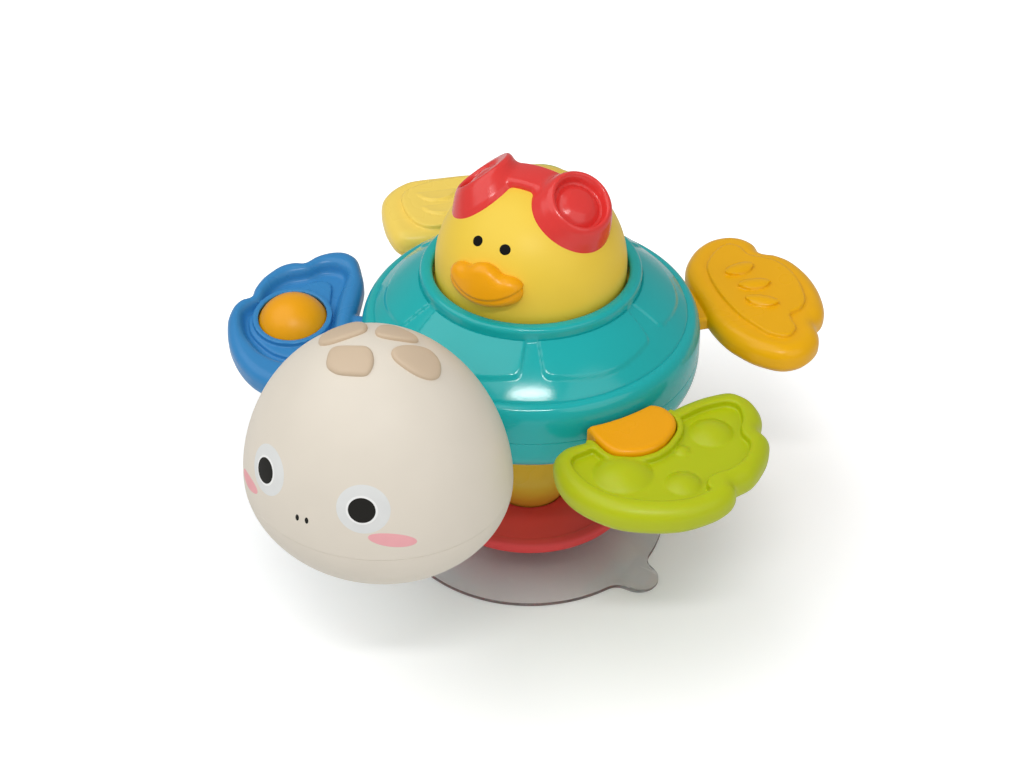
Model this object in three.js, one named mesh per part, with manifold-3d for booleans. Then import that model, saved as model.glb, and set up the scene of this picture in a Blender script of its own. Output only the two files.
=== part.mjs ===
// Suction cup turtle toy for a high chair tray or a bath wall, in millimetres, +Z up.
// The origin is on the spin axis, in the plane of the suction cup's rim, and the turtle looks along -Y.
// The turtle spins on the foot, the duck in its shell is a sprung button, the head tips from side to
// side, the blue flipper turns on a round pin and the other three flippers flap on hinge pins.

import * as THREE from 'three';
import { mergeVertices } from 'three/addons/utils/BufferGeometryUtils.js';
import Module from 'manifold-3d';

const wasm = await Module();
wasm.setup();

// Clearances between pieces
const FIT_GAP = 0.3;
const RUN_GAP = 0.3;

// Suction cup: thin skirt, flat sealing land, collar round the hub of the foot, pull tab
const CUP_RADIUS = 46.2;
const CUP_RIM_HEIGHT = 1.3;
const CUP_LAND_WIDTH = 2.6;
const CUP_SKIRT_RISE = 5.6;
const CUP_WALL = 2.4;
const CUP_FLOOR = 2.2;
const CUP_COLLAR_WALL = 2.5;
const CUP_COLLAR_HEIGHT = 3.6;
const TAB_ANGLE = -11.5;
const TAB_WIDTH = 13.5;
const TAB_REACH = 9.6;
const TAB_FILLET = 5;

// Foot: a dished red plate with a rolled lip, a hub below and a round socket above
const FOOT_RADIUS = 35.7;
const FOOT_LIP_HEIGHT = 3.6;
const FOOT_PLATE_UNDERSIDE_Z = 10.6;
const FOOT_TOP_Z = 16;
const FOOT_DISH_Z = 14;
const FOOT_HUB_RADIUS = 14;
const FOOT_HUB_Z = 6.5;
const FOOT_WEB = 2.4;
const SOCKET_FLOOR_Z = 12.2;

// Stem: a bulb that turns in the foot's socket, a waist and a flange under the shell
const BULB_RADIUS = 13.6;
const BULB_Z = 20;
const STEM_WAIST_RADIUS = 12.2;
const STEM_WAIST_Z = 38;
const STEM_FLANGE_RADIUS = 24;
const STEM_FLANGE_THICKNESS = 4.6;
const STEM_BORE_RADIUS = 8.5;
const STEM_BORE_FLOOR_Z = 25;
const PIVOT_RADIUS = 4;
const WASHER_RADIUS = 8;
const WASHER_THICKNESS = 1;

// Screws
const SCREW_RADIUS = 1.5;
const SCREW_HEAD_RADIUS = 3;
const SCREW_HEAD_HEIGHT = 1.3;
const SWIVEL_SCREW_LENGTH = 11;
const STEM_SCREW_LENGTH = 12;
const STEM_SCREW_CIRCLE = 19.5;
const STEM_SCREW_COUNT = 3;
const STEM_SCREW_START = 30;
const SHELL_SCREW_LENGTH = 20;
const SHELL_SCREW_ANGLES = [11, 90, 169, 237.5, 302.5];
const BOSS_WALL = 2.4;

// Shell: two halves that meet at the height of the radial pins
const SEAM_Z = 76;
const SHELL_RADIUS = 54.6;
const SHELL_WALL = 2.2;
const SHELL_FLOOR_Z = 60.3;
const SHELL_FLAT_RADIUS = 28;
const SHELL_BELLY_POWER = 3;
const BEAD_Z = 80;
const LEDGE_WIDTH = 4.6;
const LEDGE_Z = 88.6;
const DOME_BULGE = 0.24;
const COLLAR_RADIUS = 35.2;
const COLLAR_FOOT_Z = 100.4;
const COLLAR_HEIGHT = 4.2;
const COLLAR_DEPTH = 6.3;
const SCUTE_COUNT = 6;
const SCUTE_RISE = 0.8;
const SCUTE_EDGE_INSET = 3.4;
const SCUTE_VALLEY_ANGLE = -59;
const SCUTE_VALLEY_WIDTH = 4;

// Duck button
const DUCK_RADIUS = 30.3;
const DUCK_CENTRE_Z = 106;
const DUCK_WALL = 2.2;
const DUCK_TRAVEL = 2.5;
const DUCK_GAP = 0.8;
const DUCK_FLANGE_WIDTH = 3;
const DUCK_FLANGE_THICKNESS = 2.2;
const GUIDE_DISC_THICKNESS = 2.2;
const GUIDE_TUBE_WALL = 2.2;
const GUIDE_OVERLAP = 16;
const POST_RADIUS = 6;
const SPRING_RADIUS = 11.6;
const SPRING_WIRE_RADIUS = 0.7;
const SPRING_TURNS = 6;
const BEAK_WIDTH = 25;
const BEAK_HEIGHT = 11.4;
const BEAK_REACH = 6.2;
const BEAK_ELEVATION = 13.8;
const BEAK_HUMP_ELEVATION = 20;
const BEAK_HUMP_SIZE = [6.2, 5, 6.2];
const BEAK_CORNER_BEARING = 18;
const BEAK_CORNER_ELEVATION = 17;
const BEAK_CORNER_SIZE = [3.9, 3.9, 4.8];
const GOGGLE_BEARING = 78.9;
const GOGGLE_TURN = 3.7;
const GOGGLE_ELEVATION = 56;
const GOGGLE_BASE_RADIUS = 13;
const GOGGLE_RIM_RADIUS = 9.6;
const GOGGLE_HEIGHT = 5.2;
const LENS_RADIUS = 8;
const LENS_DEPTH = 1.5;
const BRIDGE_WIDTH = 12;
const BRIDGE_THICKNESS = 3.4;

// Head: an egg split at its widest level, dished at the back so that it clears the shell
const HEAD_STANDOFF = 33;
const HEAD_SEAM_Z = 82.6;
const HEAD_HALF_WIDTH = 40.3;
const HEAD_HALF_LENGTH = 37.2;
const HEAD_CROWN = 47.4;
const HEAD_CHIN = 28.4;
const HEAD_CROWN_POWER = 1.88;
const HEAD_CHIN_POWER = 1.9;
const HEAD_WALL = 2.2;
const NECK_RADIUS = 4;
const PATCH_RISE = 0.9;

// Flippers and their pins
const FRONT_SPREAD = 65;
const CLIP_TURN = -3.3;
const REAR_SPREAD = 137;
const BLUE_REST_ROLL = -9;
const SHELL_CLEARANCE = 1.6;
const GREEN_CLEARANCE = 4.4;
const BLUE_CLEARANCE = 2.9;
const REAR_CLEARANCE = 4.4;
const FLIPPER_TOP = 5;
const FLIPPER_DEPTH = 10.4;
const ORANGE_LIFT = 1.2;
const RIM_WIDTH = 5.6;
const TRAY_DEPTH = 4.4;
const PAD_DEPTH = 2.6;
const PLATEAU_INSET = 5.4;
const PLATEAU_RISE = 1.6;
const BLUE_PIN_RADIUS = 3.5;
const PIN_DEPTH = 17.6;
const PIN_FLANGE_WIDTH = 3;
const PIN_FLANGE_THICKNESS = 2.5;
const PIN_FLANGE_INSET = 6.6;
const BEARING_THICKNESS = 2.5;
const BEARING_INSET = 16.1;
const HINGE_INSET = 8.6;
const HINGE_PIN_RADIUS = 1.5;
const HINGE_BARREL_RADIUS = 3.5;
const HINGE_BARREL_LENGTH = 19.4;
const HINGE_EAR_THICKNESS = 2.5;
const HINGE_EAR_LENGTH = 8;
const FLAP_LIMIT = 15;
const ARM_WIDTH = 18;
const ARM_THICKNESS = 4.4;
const BALL_STANDOFF = 23.4;
const BALL_RADIUS = 12.1;
const BALL_GAP = 0.8;
const BALL_DROP = 2.8;
const BALL_COLLAR_WIDTH = 1.6;
const BALL_COLLAR_TOP = 2.8;
const AXLE_RADIUS = 1.5;
const AXLE_SEAT = 3.2;
const CLIP_WIDTH = 29;
const CLIP_SIDE = 0.4;
const CLIP_TOP = 5;
const CLIP_THICKNESS = 5.6;
const CLIP_BEVEL = 0.8;
const CLIP_BORDER = 2.4;
const CLIP_STUD_RADIUS = 3;
const SPINNER_RADIUS = 11.5;
const SPINNER_THICKNESS = 4.2;
const RIVET_RADIUS = 1.5;
const RIVET_HEAD_RADIUS = 3.2;
const RIVET_SEAT = 4;

// Lobes of each flipper's outline: distance from the shell's wall, place to the left of the arm, radius
const GREEN_LOBES = [[15.4, -17.7, 17.8], [22.1, -6.1, 25], [26.3, 14, 14.4], [15.6, 23.1, 12]];
const BLUE_LOBES = [[18.6, 7, 25.2], [23.7, -10.7, 14.7], [13.8, -22.1, 10]];
const BLUE_TRAY_LOBES = [[17.7, 4.5, 21.3], [20.4, -6.2, 14.7], [14.7, -16.3, 8.2]];
const ORANGE_LOBES = [[21, -3.8, 23.1], [21.1, 19.5, 11.5], [21, -22.7, 14.5], [17.6, 13.7, 13.7]];
const YELLOW_LOBES = [[22.2, -0.4, 19.8], [20.9, -21.5, 12.2], [20.7, 15.7, 21.2]];
const LOBE_MIDDLE = 20.4;

// Bubbles on the teething flipper: distance from the shell's wall, sideways place, radius
const BUBBLES = [[17.8, -16.4, 9], [18.7, 14.6, 6.8], [32.2, -4.9, 5.4], [22, 3.4, 2.6]];
const BUBBLE_RISE = 0.34;
// Seeds on the orange flipper: distance from the shell's wall, sideways place, turn in degrees
const SEEDS = [[19.4, 7.1, 16], [21.2, -2.1, -6], [20.3, -11.9, -26]];
const SEED_SIZE = [5.3, 2.5, 1.3];
// Wave ridges on the yellow flipper: place of the curve's centre from the shell's wall and sideways, radius
const WAVES = [[31.9, 14.5, 9], [23.4, 15.5, 9.2]];
const WAVE_HALF_ANGLE = 62;
const WAVE_RADIUS = 1.1;
// The spinner's place on the yellow flipper: distance from the shell's wall, sideways place
const SPINNER_PLACE = [22.4, -20.3];
// Patches on the crown: length forward of the head's centre, sideways place, half sizes, turn in degrees
const CROWN_PATCHES = [
  [8.1, -1.4, 5.1, 7.4, 3], [-3.8, 12.7, 5.2, 7, 45], [-2.4, -11.5, 5.4, 7.4, 21], [-8.8, 2.9, 4.2, 6.3, 33],
];

// Facets
const ROUND = 28;
const FINE_ROUND = 36;
const HIDDEN_ROUND = 22;
const SMALL_ROUND = 8;
const OUTLINE_TOLERANCE = 0.4;
const WELD = 1e-4;

// Worked out from the driving dimensions
const rad = THREE.MathUtils.degToRad;
const HEAD_ANGLE = -90;
const GREEN_ANGLE = HEAD_ANGLE + FRONT_SPREAD;
const BLUE_ANGLE = HEAD_ANGLE - FRONT_SPREAD;
const ORANGE_ANGLE = HEAD_ANGLE + REAR_SPREAD;
const YELLOW_ANGLE = HEAD_ANGLE - REAR_SPREAD;
const CLIP_ANGLE = GREEN_ANGLE + CLIP_TURN;
const FLAP_ANGLES = [CLIP_ANGLE, ORANGE_ANGLE, YELLOW_ANGLE];
const FLIPPER_BOTTOM = FLIPPER_TOP - FLIPPER_DEPTH;
const LEDGE_RADIUS = SHELL_RADIUS - LEDGE_WIDTH;
const SCUTE_EDGE_RADIUS = LEDGE_RADIUS - SCUTE_EDGE_INSET;
const HEAD_REACH = SHELL_RADIUS + HEAD_STANDOFF;
const PIN_INNER_END = SHELL_RADIUS - PIN_DEPTH;
const PIN_FLANGE_REACH = SHELL_RADIUS - PIN_FLANGE_INSET;
const BEARING_REACH = SHELL_RADIUS - BEARING_INSET;
const HINGE_REACH = SHELL_RADIUS - HINGE_INSET;
const BALL_REACH = SHELL_RADIUS + BALL_STANDOFF;
const CLEAR_RADIUS = SHELL_RADIUS + SHELL_CLEARANCE;
const BLUE_CLEAR_RADIUS = SHELL_RADIUS + BLUE_CLEARANCE;
const REAR_CLEAR_RADIUS = SHELL_RADIUS + REAR_CLEARANCE;
const PILOT_RADIUS = SCREW_RADIUS + FIT_GAP;
const COUNTERBORE_Z = SOCKET_FLOOR_Z - FOOT_WEB;
const WASHER_TOP_Z = COUNTERBORE_Z - RUN_GAP;
const SWIVEL_HEAD_TOP_Z = WASHER_TOP_Z - WASHER_THICKNESS - FIT_GAP;
const STEM_TOP_Z = SHELL_FLOOR_Z - FIT_GAP;
const STEM_FLANGE_Z = STEM_TOP_Z - STEM_FLANGE_THICKNESS;
const SHELL_FLOOR_TOP_Z = SHELL_FLOOR_Z + SHELL_WALL;
const COLLAR_TOP_Z = COLLAR_FOOT_Z + COLLAR_HEIGHT;
const COLLAR_UNDERSIDE_Z = COLLAR_TOP_Z - COLLAR_DEPTH;
const COLLAR_BORE_RADIUS = DUCK_RADIUS + DUCK_GAP;
const DUCK_WAY_RADIUS = DUCK_RADIUS + DUCK_FLANGE_WIDTH + 2 * RUN_GAP;
const SHELL_SCREW_CIRCLE = DUCK_WAY_RADIUS + PILOT_RADIUS + 2 * BOSS_WALL;
const DUCK_FLANGE_TOP_Z = COLLAR_UNDERSIDE_Z - FIT_GAP;
const DUCK_SKIRT_Z = DUCK_FLANGE_TOP_Z - DUCK_FLANGE_THICKNESS;
const GUIDE_DISC_Z = DUCK_SKIRT_Z - FIT_GAP;
const POST_TOP_Z = GUIDE_DISC_Z - GUIDE_DISC_THICKNESS - DUCK_TRAVEL - RUN_GAP;
const GUIDE_BORE_RADIUS = POST_RADIUS + RUN_GAP;
const GUIDE_TUBE_Z = POST_TOP_Z - GUIDE_OVERLAP;
const SHELL_SCREW_SEAT_Z = SEAM_Z - 10;
const PIN_FLANGE_END = PIN_FLANGE_REACH + PIN_FLANGE_THICKNESS;
const LOBE_CENTRE = outward([LOBE_MIDDLE, 0]);

// A place given from the shell's wall, as a place given from the spin axis
function outward([fromWall, ...others]) {
  return [SHELL_RADIUS + fromWall, ...others];
}

// Geometry helpers: every piece is a closed solid, joined and cut where it needs to be

function solidOf(geometry) {
  const bare = new THREE.BufferGeometry();
  bare.setAttribute('position', geometry.getAttribute('position'));
  bare.setIndex(geometry.index);
  const welded = mergeVertices(bare, WELD);
  const points = welded.getAttribute('position');
  const index = welded.index.array;
  const corner = [new THREE.Vector3(), new THREE.Vector3(), new THREE.Vector3()];
  const triangles = [];
  let volume = 0;
  for (let start = 0; start < index.length; start += 3) {
    const [a, b, c] = index.slice(start, start + 3);
    if (a === b || b === c || c === a) continue;
    triangles.push(a, b, c);
    [a, b, c].forEach((vertex, place) => corner[place].fromBufferAttribute(points, vertex));
    volume += corner[0].dot(corner[1].cross(corner[2]));
  }
  if (volume < 0) triangles.reverse();
  const vertProperties = new Float32Array(points.array);
  const triVerts = new Uint32Array(triangles);
  return new wasm.Manifold(new wasm.Mesh({ numProp: 3, vertProperties, triVerts }));
}

function geometryOf(solid) {
  const made = solid.getMesh();
  const count = made.vertProperties.length / made.numProp;
  const position = new Float32Array(count * 3);
  for (let vertex = 0; vertex < count; vertex += 1) {
    for (let axis = 0; axis < 3; axis += 1) {
      position[vertex * 3 + axis] = made.vertProperties[vertex * made.numProp + axis];
    }
  }
  const geometry = new THREE.BufferGeometry();
  geometry.setAttribute('position', new THREE.BufferAttribute(position, 3));
  geometry.setIndex(new THREE.BufferAttribute(new Uint32Array(made.triVerts), 1));
  geometry.computeVertexNormals();
  return geometry;
}

function joined(first, ...others) {
  return others.reduce((sum, next) => sum.add(next), first);
}

function cut(first, ...others) {
  return others.reduce((rest, next) => rest.subtract(next), first);
}

// Profile points are [radius, height] and start and end on the axis
function revolved(profile, segments = ROUND) {
  const points = profile.map(([radius, height]) => new THREE.Vector2(radius, height));
  return new THREE.LatheGeometry(points, segments).rotateX(Math.PI / 2);
}

function revolvedSolid(profile, segments = ROUND) {
  return solidOf(revolved(profile, segments));
}

// A ring's profile closes on itself away from the axis
function ringSolid(profile, segments = ROUND) {
  return revolvedSolid([...profile, profile[0]], segments);
}

function uprightRod(radius, low, high, x = 0, y = 0, segments = SMALL_ROUND) {
  const rod = new THREE.CylinderGeometry(radius, radius, high - low, segments).rotateX(Math.PI / 2);
  return rod.translate(x, y, (low + high) / 2);
}

function radialRod(radius, inner, outer, z = 0, segments = SMALL_ROUND) {
  const rod = new THREE.CylinderGeometry(radius, radius, outer - inner, segments).rotateZ(Math.PI / 2);
  return rod.translate((inner + outer) / 2, 0, z);
}

function sidewaysRod(radius, length, x, z, segments = SMALL_ROUND) {
  return new THREE.CylinderGeometry(radius, radius, length, segments).translate(x, 0, z);
}

function block(x, y, z) {
  const box = new THREE.BoxGeometry(x[1] - x[0], y[1] - y[0], z[1] - z[0]);
  return box.translate((x[0] + x[1]) / 2, (y[0] + y[1]) / 2, (z[0] + z[1]) / 2);
}

function turned(geometry, degrees) {
  return geometry.rotateZ(rad(degrees));
}

// A closed surface from rings of equally many points, with a middle point at each end
function stackedRings(rings, firstMiddle, lastMiddle) {
  const steps = rings[0].length;
  const points = [...rings.flat(), firstMiddle, lastMiddle];
  const first = points.length - 2;
  const last = points.length - 1;
  const index = [];
  for (let step = 0; step < steps; step += 1) {
    const next = (step + 1) % steps;
    index.push(first, next, step);
    for (let ring = 0; ring + 1 < rings.length; ring += 1) {
      const low = ring * steps;
      const high = low + steps;
      index.push(low + step, low + next, high + next);
      index.push(low + step, high + next, high + step);
    }
    const top = (rings.length - 1) * steps;
    index.push(top + step, top + next, last);
  }
  const geometry = new THREE.BufferGeometry().setFromPoints(points.map((p) => new THREE.Vector3(...p)));
  geometry.setIndex(index);
  return geometry;
}

// Superellipse quarter from [0, 1] to [1, 0]
function quarter(power, steps) {
  const points = [];
  for (let step = 0; step <= steps; step += 1) {
    const angle = (step / steps) * Math.PI / 2;
    points.push([Math.sin(angle) ** (2 / power), Math.cos(angle) ** (2 / power)]);
  }
  return points;
}

// Suction cup

function suctionCup() {
  const bore = FOOT_HUB_RADIUS + FIT_GAP;
  const collar = bore + CUP_COLLAR_WALL;
  const floorTop = FOOT_HUB_Z - FIT_GAP;
  const land = CUP_RADIUS - CUP_LAND_WIDTH;
  const rootZ = CUP_RIM_HEIGHT + CUP_SKIRT_RISE;
  const upper = [];
  const under = [];
  const steps = 4;
  for (let step = 0; step <= steps; step += 1) {
    const out = step / steps;
    const rise = (1 - out) ** 1.25;
    upper.push([collar + (CUP_RADIUS - collar) * out, CUP_RIM_HEIGHT + CUP_SKIRT_RISE * rise]);
    under.unshift([collar + (land - collar) * out, (rootZ - CUP_WALL) * rise]);
  }
  const skirt = revolvedSolid([
    [0, floorTop], [bore, floorTop],
    [bore, floorTop + CUP_COLLAR_HEIGHT], [collar, floorTop + CUP_COLLAR_HEIGHT],
    ...upper, [CUP_RADIUS, 0], ...under, [0, floorTop - CUP_FLOOR],
  ], FINE_ROUND);
  const half = TAB_WIDTH / 2;
  const tipCentre = CUP_RADIUS + TAB_REACH - half;
  const root = CUP_RADIUS - CUP_LAND_WIDTH / 2;
  const outline = new THREE.Shape();
  outline.moveTo(root, -half - TAB_FILLET);
  outline.quadraticCurveTo(CUP_RADIUS, -half, tipCentre, -half);
  outline.absarc(tipCentre, 0, half, -Math.PI / 2, Math.PI / 2, false);
  outline.quadraticCurveTo(CUP_RADIUS, half, root, half + TAB_FILLET);
  const thick = { depth: CUP_RIM_HEIGHT, bevelEnabled: false, curveSegments: 6 };
  const tab = new THREE.ExtrudeGeometry(outline, thick);
  return joined(skirt, solidOf(turned(tab, TAB_ANGLE)));
}

// Foot and swivel

function footPlate() {
  const socket = BULB_RADIUS + RUN_GAP;
  const socketRadius = (z) => Math.sqrt(socket ** 2 - (BULB_Z - z) ** 2);
  const lipZ = FOOT_TOP_Z + 1.3 - FOOT_LIP_HEIGHT;
  const lipRoll = FOOT_LIP_HEIGHT / 2;
  const lip = [];
  for (let degrees = -80; degrees <= 110; degrees += 47.5) {
    const roll = rad(degrees);
    lip.push([FOOT_RADIUS + lipRoll * (Math.cos(roll) - 1), lipZ + lipRoll * (1 + Math.sin(roll))]);
  }
  return ringSolid([
    [PIVOT_RADIUS + RUN_GAP, COUNTERBORE_Z], [WASHER_RADIUS + FIT_GAP, COUNTERBORE_Z],
    [WASHER_RADIUS + FIT_GAP, FOOT_HUB_Z], [FOOT_HUB_RADIUS, FOOT_HUB_Z],
    [FOOT_HUB_RADIUS, FOOT_PLATE_UNDERSIDE_Z], ...lip,
    [FOOT_RADIUS - 2 * lipRoll, FOOT_TOP_Z], [FOOT_RADIUS - 4 * lipRoll, FOOT_TOP_Z - 0.3],
    [socketRadius(FOOT_DISH_Z), FOOT_DISH_Z],
    [socketRadius(SOCKET_FLOOR_Z), SOCKET_FLOOR_Z], [PIVOT_RADIUS + RUN_GAP, SOCKET_FLOOR_Z],
  ]);
}

function swivelStem() {
  const bulbFloor = SOCKET_FLOOR_Z + RUN_GAP;
  const bulb = [];
  const low = Math.asin((bulbFloor - BULB_Z) / BULB_RADIUS);
  const high = rad(18);
  for (let step = 0; step <= 4; step += 1) {
    const angle = low + (high - low) * step / 4;
    bulb.push([BULB_RADIUS * Math.cos(angle), BULB_Z + BULB_RADIUS * Math.sin(angle)]);
  }
  const flare = [];
  const flareRise = STEM_FLANGE_Z - STEM_WAIST_Z;
  const neck = STEM_SCREW_CIRCLE - SCREW_HEAD_RADIUS - FIT_GAP;
  for (let step = 0; step <= 3; step += 1) {
    const up = step / 3;
    flare.push([STEM_WAIST_RADIUS + (neck - STEM_WAIST_RADIUS) * up ** 2, STEM_WAIST_Z + flareRise * up]);
  }
  const pivotZ = WASHER_TOP_Z + FIT_GAP;
  const pilotTop = SWIVEL_HEAD_TOP_Z + SWIVEL_SCREW_LENGTH + FIT_GAP;
  const body = revolvedSolid([
    [0, pilotTop], [PILOT_RADIUS, pilotTop], [PILOT_RADIUS, pivotZ], [PIVOT_RADIUS, pivotZ],
    [PIVOT_RADIUS, bulbFloor], ...bulb, ...flare, [STEM_FLANGE_RADIUS, STEM_FLANGE_Z],
    [STEM_FLANGE_RADIUS, STEM_TOP_Z], [STEM_BORE_RADIUS, STEM_TOP_Z],
    [STEM_BORE_RADIUS, STEM_BORE_FLOOR_Z], [0, STEM_BORE_FLOOR_Z],
  ], HIDDEN_ROUND);
  const holes = stemScrewPlaces().map(([x, y]) => (
    solidOf(uprightRod(PILOT_RADIUS, STEM_FLANGE_Z - 1, STEM_TOP_Z + 1, x, y))
  ));
  return cut(body, ...holes);
}

function swivelWasher() {
  const low = WASHER_TOP_Z - WASHER_THICKNESS;
  return ringSolid([
    [PILOT_RADIUS, low], [WASHER_RADIUS, low], [WASHER_RADIUS, WASHER_TOP_Z], [PILOT_RADIUS, WASHER_TOP_Z],
  ], HIDDEN_ROUND);
}

// A pan head screw, with its head's top at height 0 and its shank upward
function screw(length) {
  return revolvedSolid([
    [0, -SCREW_HEAD_HEIGHT], [SCREW_HEAD_RADIUS * 0.8, -SCREW_HEAD_HEIGHT],
    [SCREW_HEAD_RADIUS, -SCREW_HEAD_HEIGHT / 2], [SCREW_HEAD_RADIUS, 0], [SCREW_RADIUS, 0],
    [SCREW_RADIUS, length - SCREW_RADIUS], [0, length],
  ], SMALL_ROUND);
}

function placesOnCircle(radius, angles) {
  return angles.map((degrees) => [radius * Math.cos(rad(degrees)), radius * Math.sin(rad(degrees))]);
}

function stemScrewPlaces() {
  const angles = Array.from({ length: STEM_SCREW_COUNT }, (_, place) => (
    STEM_SCREW_START + place * 360 / STEM_SCREW_COUNT
  ));
  return placesOnCircle(STEM_SCREW_CIRCLE, angles);
}

// Shell halves

// Slots and holes through the shell wall for the pins and arms, the same for both halves
function pinOpenings() {
  const outer = SHELL_RADIUS + 1;
  const inner = SHELL_RADIUS - 2 * SHELL_WALL;
  const reach = SHELL_RADIUS - HINGE_REACH;
  const swing = ARM_THICKNESS / 2 + reach * Math.sin(rad(FLAP_LIMIT)) + RUN_GAP;
  const half = ARM_WIDTH / 2 + RUN_GAP;
  const slots = FLAP_ANGLES.map((angle) => (
    turned(block([inner, outer], [-half, half], [SEAM_Z - swing, SEAM_Z + swing]), angle)
  ));
  const holes = [[HEAD_ANGLE, NECK_RADIUS], [BLUE_ANGLE, BLUE_PIN_RADIUS]].map(([angle, radius]) => (
    turned(radialRod(radius + RUN_GAP, inner, outer, SEAM_Z, 16), angle)
  ));
  return [...slots, ...holes].map(solidOf);
}

function bellyProfile(radius, flat, low, high, steps = 4) {
  return quarter(SHELL_BELLY_POWER, steps).map(([across, down]) => (
    [flat + (radius - flat) * across, high - (high - low) * down]
  ));
}

function lowerShell() {
  const top = SEAM_Z - FIT_GAP / 2;
  const outside = revolvedSolid([
    [0, SHELL_FLOOR_Z], ...bellyProfile(SHELL_RADIUS, SHELL_FLAT_RADIUS, SHELL_FLOOR_Z, SEAM_Z, 6),
    [0, SEAM_Z],
  ], FINE_ROUND);
  const inside = revolvedSolid([
    [0, SHELL_FLOOR_TOP_Z],
    ...bellyProfile(SHELL_RADIUS - SHELL_WALL, SHELL_FLAT_RADIUS, SHELL_FLOOR_TOP_Z, SEAM_Z),
    [SHELL_RADIUS - SHELL_WALL, SEAM_Z + 1], [0, SEAM_Z + 1],
  ], HIDDEN_ROUND);
  const across = [-SHELL_RADIUS - 1, SHELL_RADIUS + 1];
  const trim = solidOf(block(across, across, [top, SEAM_Z + 2]));
  const bowl = cut(outside, inside, trim);
  const sunk = SHELL_FLOOR_Z + SHELL_WALL / 2;
  const post = solidOf(uprightRod(POST_RADIUS, sunk, POST_TOP_Z, 0, 0, 16));
  const stemBosses = stemScrewPlaces().map(([x, y]) => (
    solidOf(uprightRod(PILOT_RADIUS + BOSS_WALL, sunk, STEM_FLANGE_Z + STEM_SCREW_LENGTH + 1.5, x, y))
  ));
  const counterbore = SCREW_HEAD_RADIUS + FIT_GAP;
  const shellPlaces = placesOnCircle(SHELL_SCREW_CIRCLE, SHELL_SCREW_ANGLES);
  const shellBosses = shellPlaces.map(([x, y]) => (
    solidOf(uprightRod(counterbore + BOSS_WALL / 2, SHELL_FLOOR_TOP_Z, top, x, y))
  ));
  const shell = joined(bowl, post, ...stemBosses, ...shellBosses, ...hingeEars(), ...pinBearings());
  const stemPilots = stemScrewPlaces().map(([x, y]) => (
    solidOf(uprightRod(PILOT_RADIUS, SHELL_FLOOR_Z - 1, STEM_FLANGE_Z + STEM_SCREW_LENGTH + FIT_GAP, x, y))
  ));
  const screwWays = shellPlaces.flatMap(([x, y]) => [
    solidOf(uprightRod(counterbore, SHELL_FLOOR_Z - 1, SHELL_SCREW_SEAT_Z, x, y)),
    solidOf(uprightRod(PILOT_RADIUS, SHELL_SCREW_SEAT_Z - 1, SEAM_Z + 1, x, y)),
  ]);
  return cut(shell, ...stemPilots, ...screwWays, ...pinOpenings(), ...hingePinHoles());
}

// A pair of ears for each hinge pin, standing on the shell's floor
function hingeEars() {
  const inner = HINGE_BARREL_LENGTH / 2 + RUN_GAP;
  const outer = inner + HINGE_EAR_THICKNESS;
  const along = [HINGE_REACH - HINGE_EAR_LENGTH / 2, HINGE_REACH + HINGE_EAR_LENGTH / 2];
  const up = [SHELL_FLOOR_Z + SHELL_WALL / 2, SEAM_Z + HINGE_BARREL_RADIUS];
  const inside = revolvedSolid([
    [0, up[0]], ...bellyProfile(SHELL_RADIUS - SHELL_WALL / 2, SHELL_FLAT_RADIUS, up[0], SEAM_Z),
    [SHELL_RADIUS - SHELL_WALL / 2, up[1]], [0, up[1]],
  ], HIDDEN_ROUND);
  return FLAP_ANGLES.flatMap((angle) => [[inner, outer], [-outer, -inner]].map((side) => (
    solidOf(turned(block(along, side, up), angle)).intersect(inside)
  )));
}

function hingePinHoles() {
  const length = HINGE_BARREL_LENGTH + 4 * HINGE_EAR_THICKNESS;
  return FLAP_ANGLES.map((angle) => (
    solidOf(turned(sidewaysRod(HINGE_PIN_RADIUS + FIT_GAP, length, HINGE_REACH, SEAM_Z), angle))
  ));
}

// Open topped bearings for the inner ends of the neck and of the blue flipper's pin
function pinBearings() {
  return [[HEAD_ANGLE, NECK_RADIUS], [BLUE_ANGLE, BLUE_PIN_RADIUS]].map(([angle, radius]) => {
    const bore = radius + RUN_GAP;
    const half = bore + BOSS_WALL;
    const along = [BEARING_REACH, BEARING_REACH + BEARING_THICKNESS];
    const web = solidOf(block(along, [-half, half], [SHELL_FLOOR_Z + SHELL_WALL / 2, SEAM_Z + radius / 2]));
    const past = [along[0] - 1, along[1] + 1];
    const seat = solidOf(radialRod(bore, ...past, SEAM_Z, 16));
    const mouth = solidOf(block(past, [-bore, bore], [SEAM_Z, SEAM_Z + radius]));
    return placed(cut(web, seat, mouth), angle);
  });
}

// A finished solid turned about the spin axis
function placed(solid, degrees) {
  return solidOf(turned(geometryOf(solid), degrees));
}

function domeHeight(radius) {
  const up = (LEDGE_RADIUS - radius) / (LEDGE_RADIUS - COLLAR_RADIUS);
  return LEDGE_Z + (COLLAR_FOOT_Z - LEDGE_Z) * up * (1 + DOME_BULGE * (1 - up));
}

// Scutes: raised panels on the dome, parted by valleys that widen outward
function scuteRise(radius, fromValley) {
  const widening = radius / COLLAR_RADIUS;
  const toValley = radius * Math.sin(fromValley) - SCUTE_VALLEY_WIDTH / 2 * widening;
  const toEdge = SCUTE_EDGE_RADIUS - 2.2 * Math.cos(3 * fromValley) ** 2 - radius;
  const inside = Math.min(toValley, toEdge);
  return SCUTE_RISE * THREE.MathUtils.smoothstep(inside, -0.35, 0.55);
}

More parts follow.
